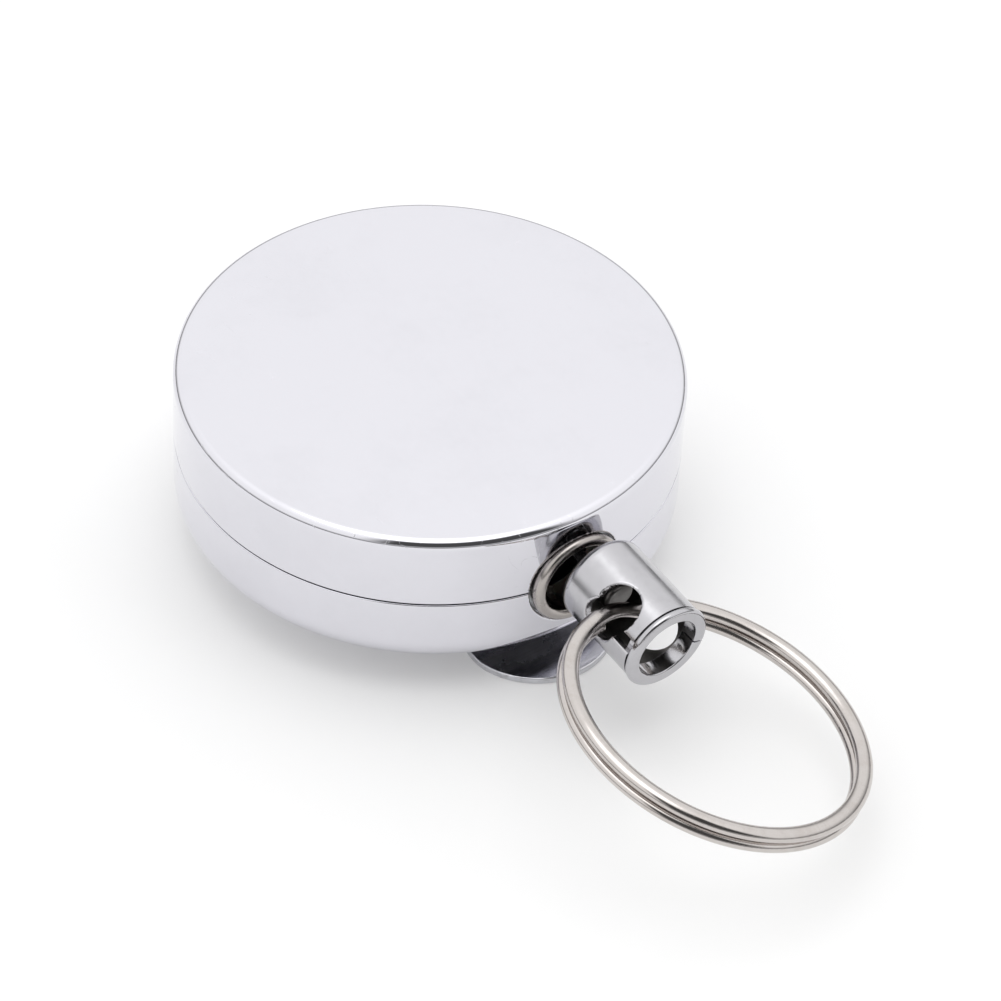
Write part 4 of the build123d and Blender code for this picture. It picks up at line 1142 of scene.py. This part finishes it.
class REEL_OT_inner_works(bpy.types.Operator):
    """Give the spool, spring, post, washers and inner cord their finishes"""

    bl_idname = "reel.inner_works"
    bl_label = "Inner works"

    def execute(self, context):
        finish = context.scene.reel_finishes
        zinc = tuple(finish.zinc)
        dull = tuple(0.75 * channel for channel in zinc)
        dark = tuple(0.6 * channel for channel in finish.spring_steel)
        worn_crimp = tuple(0.7 * channel for channel in finish.crimp)
        finishes = (
            (plated_steel("band_steel", zinc, dull), ("joining_band", "eyelet_washer")),
            (plated_steel("post_steel", zinc, dull, 0.2, 0.35), ("centre_post", "retaining_ring")),
            (plated_steel("strip_steel", tuple(finish.spring_steel), dark, 0.18, 0.32), ("power_spring",)),
            (plated_steel("crimp_steel", tuple(finish.crimp), worn_crimp, 0.3, 0.45), ("cord_crimp",)),
            (moulded_nylon("spool_nylon", tuple(finish.nylon)),
             ("spool_drum", "spring_cover", "lower_washer", "upper_washer")),
            (braided_cord("cord_filament", tuple(finish.cord), mapped=False),
             ("cord_winding", "cord_knot", "cord_run")),
        )
        for material, names in finishes:
            for name in names:
                slots = frame["nodes"][name].data.materials
                slots.clear()
                slots.append(material)
        return {"FINISHED"}


def surroundings(stage):
    """Soft studio round the reel: grey walls, a brighter ceiling, and a dark panel high on one side.
    Everything comes from the direction looked in, taken as its height and its turn round the reel."""
    world = bpy.data.worlds.new("soft_surroundings")
    world.use_nodes = True
    tree = world.node_tree
    background = tree.nodes["Background"]
    background.inputs["Color"].default_value = (1.0, 1.0, 1.0, 1.0)
    coordinates = tree.nodes.new("ShaderNodeTexCoord")
    split = node(tree, "ShaderNodeSeparateXYZ", {0: coordinates.outputs["Generated"]})
    height = maths(tree, "ARCSINE", split.outputs[2])
    wall_foot, wall_top, ceiling_edge, ceiling_middle = (math.radians(h) for h in (2, 24, 36, 80))
    walls = ranged(tree, height, wall_foot, wall_top, stage.wall, stage.sky, smooth=True)
    ceiling = ranged(tree, height, ceiling_edge, ceiling_middle, 0.0, stage.ceiling - stage.sky,
                     smooth=True)
    light = maths(tree, "ADD", walls, ceiling)
    middle = (math.sin(stage.panel_azimuth), -math.cos(stage.panel_azimuth))
    ahead = maths(tree, "ADD", maths(tree, "MULTIPLY", split.outputs[0], middle[0]),
                  maths(tree, "MULTIPLY", split.outputs[1], middle[1]))
    aside = maths(tree, "SUBTRACT", maths(tree, "MULTIPLY", split.outputs[1], middle[0]),
                  maths(tree, "MULTIPLY", split.outputs[0], middle[1]))
    turned_by = maths(tree, "ABSOLUTE", maths(tree, "ARCTAN2", aside, ahead))
    edge = math.radians(4.5)
    half = stage.panel_width / 2
    low_edge, high_edge = stage.panel_low, stage.panel_high
    across = ranged(tree, turned_by, half - 2 * edge, half + 2 * edge, 1.0, 0.0, smooth=True)
    low = ranged(tree, height, low_edge - edge, low_edge + edge, 0.0, 1.0, smooth=True)
    high = ranged(tree, height, high_edge - edge, high_edge + edge, 1.0, 0.0, smooth=True)
    panel = maths(tree, "MULTIPLY", across, maths(tree, "MULTIPLY", low, high))
    kept = maths(tree, "SUBTRACT", 1.0, maths(tree, "MULTIPLY", panel, stage.panel_depth))
    tree.links.new(maths(tree, "MULTIPLY", light, kept), background.inputs["Strength"])
    return world


class REEL_OT_stage(bpy.types.Operator):
    """Set the pale floor, the soft lights and the camera"""

    bl_idname = "reel.stage"
    bl_label = "Stage"

    def execute(self, context):
        stage = context.scene.reel_stage
        side = np.linspace(-1.5, 1.5, 13)
        x, y = np.meshgrid(side, side)
        points = np.stack([x, y, np.full(x.shape, -0.02 * MM)], -1).reshape(-1, 3)
        mesh = bpy.data.meshes.new("floor")
        mesh.from_pydata(points.tolist(), [], quads(13, 13).tolist())
        paint = bpy.data.materials.new("floor_paint")
        paint.use_nodes = True
        tree = paint.node_tree
        tree.nodes.clear()
        matt = node(tree, "ShaderNodeBsdfDiffuse", {"Color": (*stage.floor, 1)})
        lift = node(tree, "ShaderNodeEmission", {"Strength": stage.floor_glow})
        pale = node(tree, "ShaderNodeAddShader", {0: matt.outputs[0], 1: lift.outputs[0]})
        clear = node(tree, "ShaderNodeBsdfTransparent")
        back = node(tree, "ShaderNodeNewGeometry").outputs["Backfacing"]
        mixed = node(tree, "ShaderNodeMixShader", {0: back, 1: pale.outputs[0], 2: clear.outputs[0]})
        node(tree, "ShaderNodeOutputMaterial", {"Surface": mixed.outputs[0]})
        mesh.materials.append(paint)
        floor = bpy.data.objects.new("floor", mesh)
        context.scene.collection.objects.link(floor)

        context.scene.world = surroundings(stage)
        context.scene.view_settings.view_transform = "Standard"

        lamp = bpy.data.lights.new("overhead", "AREA")
        lamp.shape = "DISK"
        lamp.size = 0.5
        lamp.energy = stage.overhead
        hung = bpy.data.objects.new("overhead", lamp)
        hung.location = (0.0, 0.0, 0.6)
        context.scene.collection.objects.link(hung)

        lens = bpy.data.cameras.new("camera")
        lens.sensor_width = 36.0
        lens.lens = stage.lens
        lens.clip_start = 0.01
        camera = bpy.data.objects.new("camera", lens)
        tilt = math.cos(stage.elevation)
        toward = Vector((math.sin(stage.azimuth) * tilt, -math.cos(stage.azimuth) * tilt,
                         math.sin(stage.elevation)))
        camera.location = Vector(stage.aim) + toward * stage.distance
        camera.rotation_mode = "QUATERNION"
        camera.rotation_quaternion = (-toward).to_track_quat("-Z", "Y") @ Quaternion((0, 0, 1), stage.roll)
        context.scene.collection.objects.link(camera)
        context.scene.camera = camera
        return {"FINISHED"}


class REEL_PT_panel(bpy.types.Panel):
    """Badge reel builder"""

    bl_idname = "REEL_PT_panel"
    bl_label = "Badge reel"
    bl_space_type = "VIEW_3D"
    bl_region_type = "UI"
    bl_category = "Badge reel"

    def draw(self, context):
        for operator in OPERATORS:
            self.layout.operator(operator.bl_idname)
        for group in (context.scene.reel_sizes, context.scene.reel_finishes, context.scene.reel_stage):
            box = self.layout.box()
            for name in group.__annotations__:
                box.prop(group, name)


OPERATORS = (REEL_OT_stage, REEL_OT_cord, REEL_OT_covers, REEL_OT_eyelet, REEL_OT_connector,
             REEL_OT_split_ring, REEL_OT_belt_clip, REEL_OT_inner_works)
PROPERTIES = {"reel_sizes": ReelSizes, "reel_finishes": ReelFinishes, "reel_stage": ReelStage}


def register():
    """Register the classes and hang the settings on the scene."""
    for item in (*PROPERTIES.values(), *OPERATORS, REEL_PT_panel):
        bpy.utils.register_class(item)
    for name, group in PROPERTIES.items():
        setattr(bpy.types.Scene, name, PointerProperty(type=group))


def unregister():
    """Take the settings and classes away again."""
    for name in PROPERTIES:
        delattr(bpy.types.Scene, name)
    for item in (REEL_PT_panel, *reversed(OPERATORS), *PROPERTIES.values()):
        bpy.utils.unregister_class(item)


def main():
    register()
    for operator in OPERATORS:
        group, name = operator.bl_idname.split(".")
        getattr(getattr(bpy.ops, group), name)()


if __name__ == "__main__":
    main()
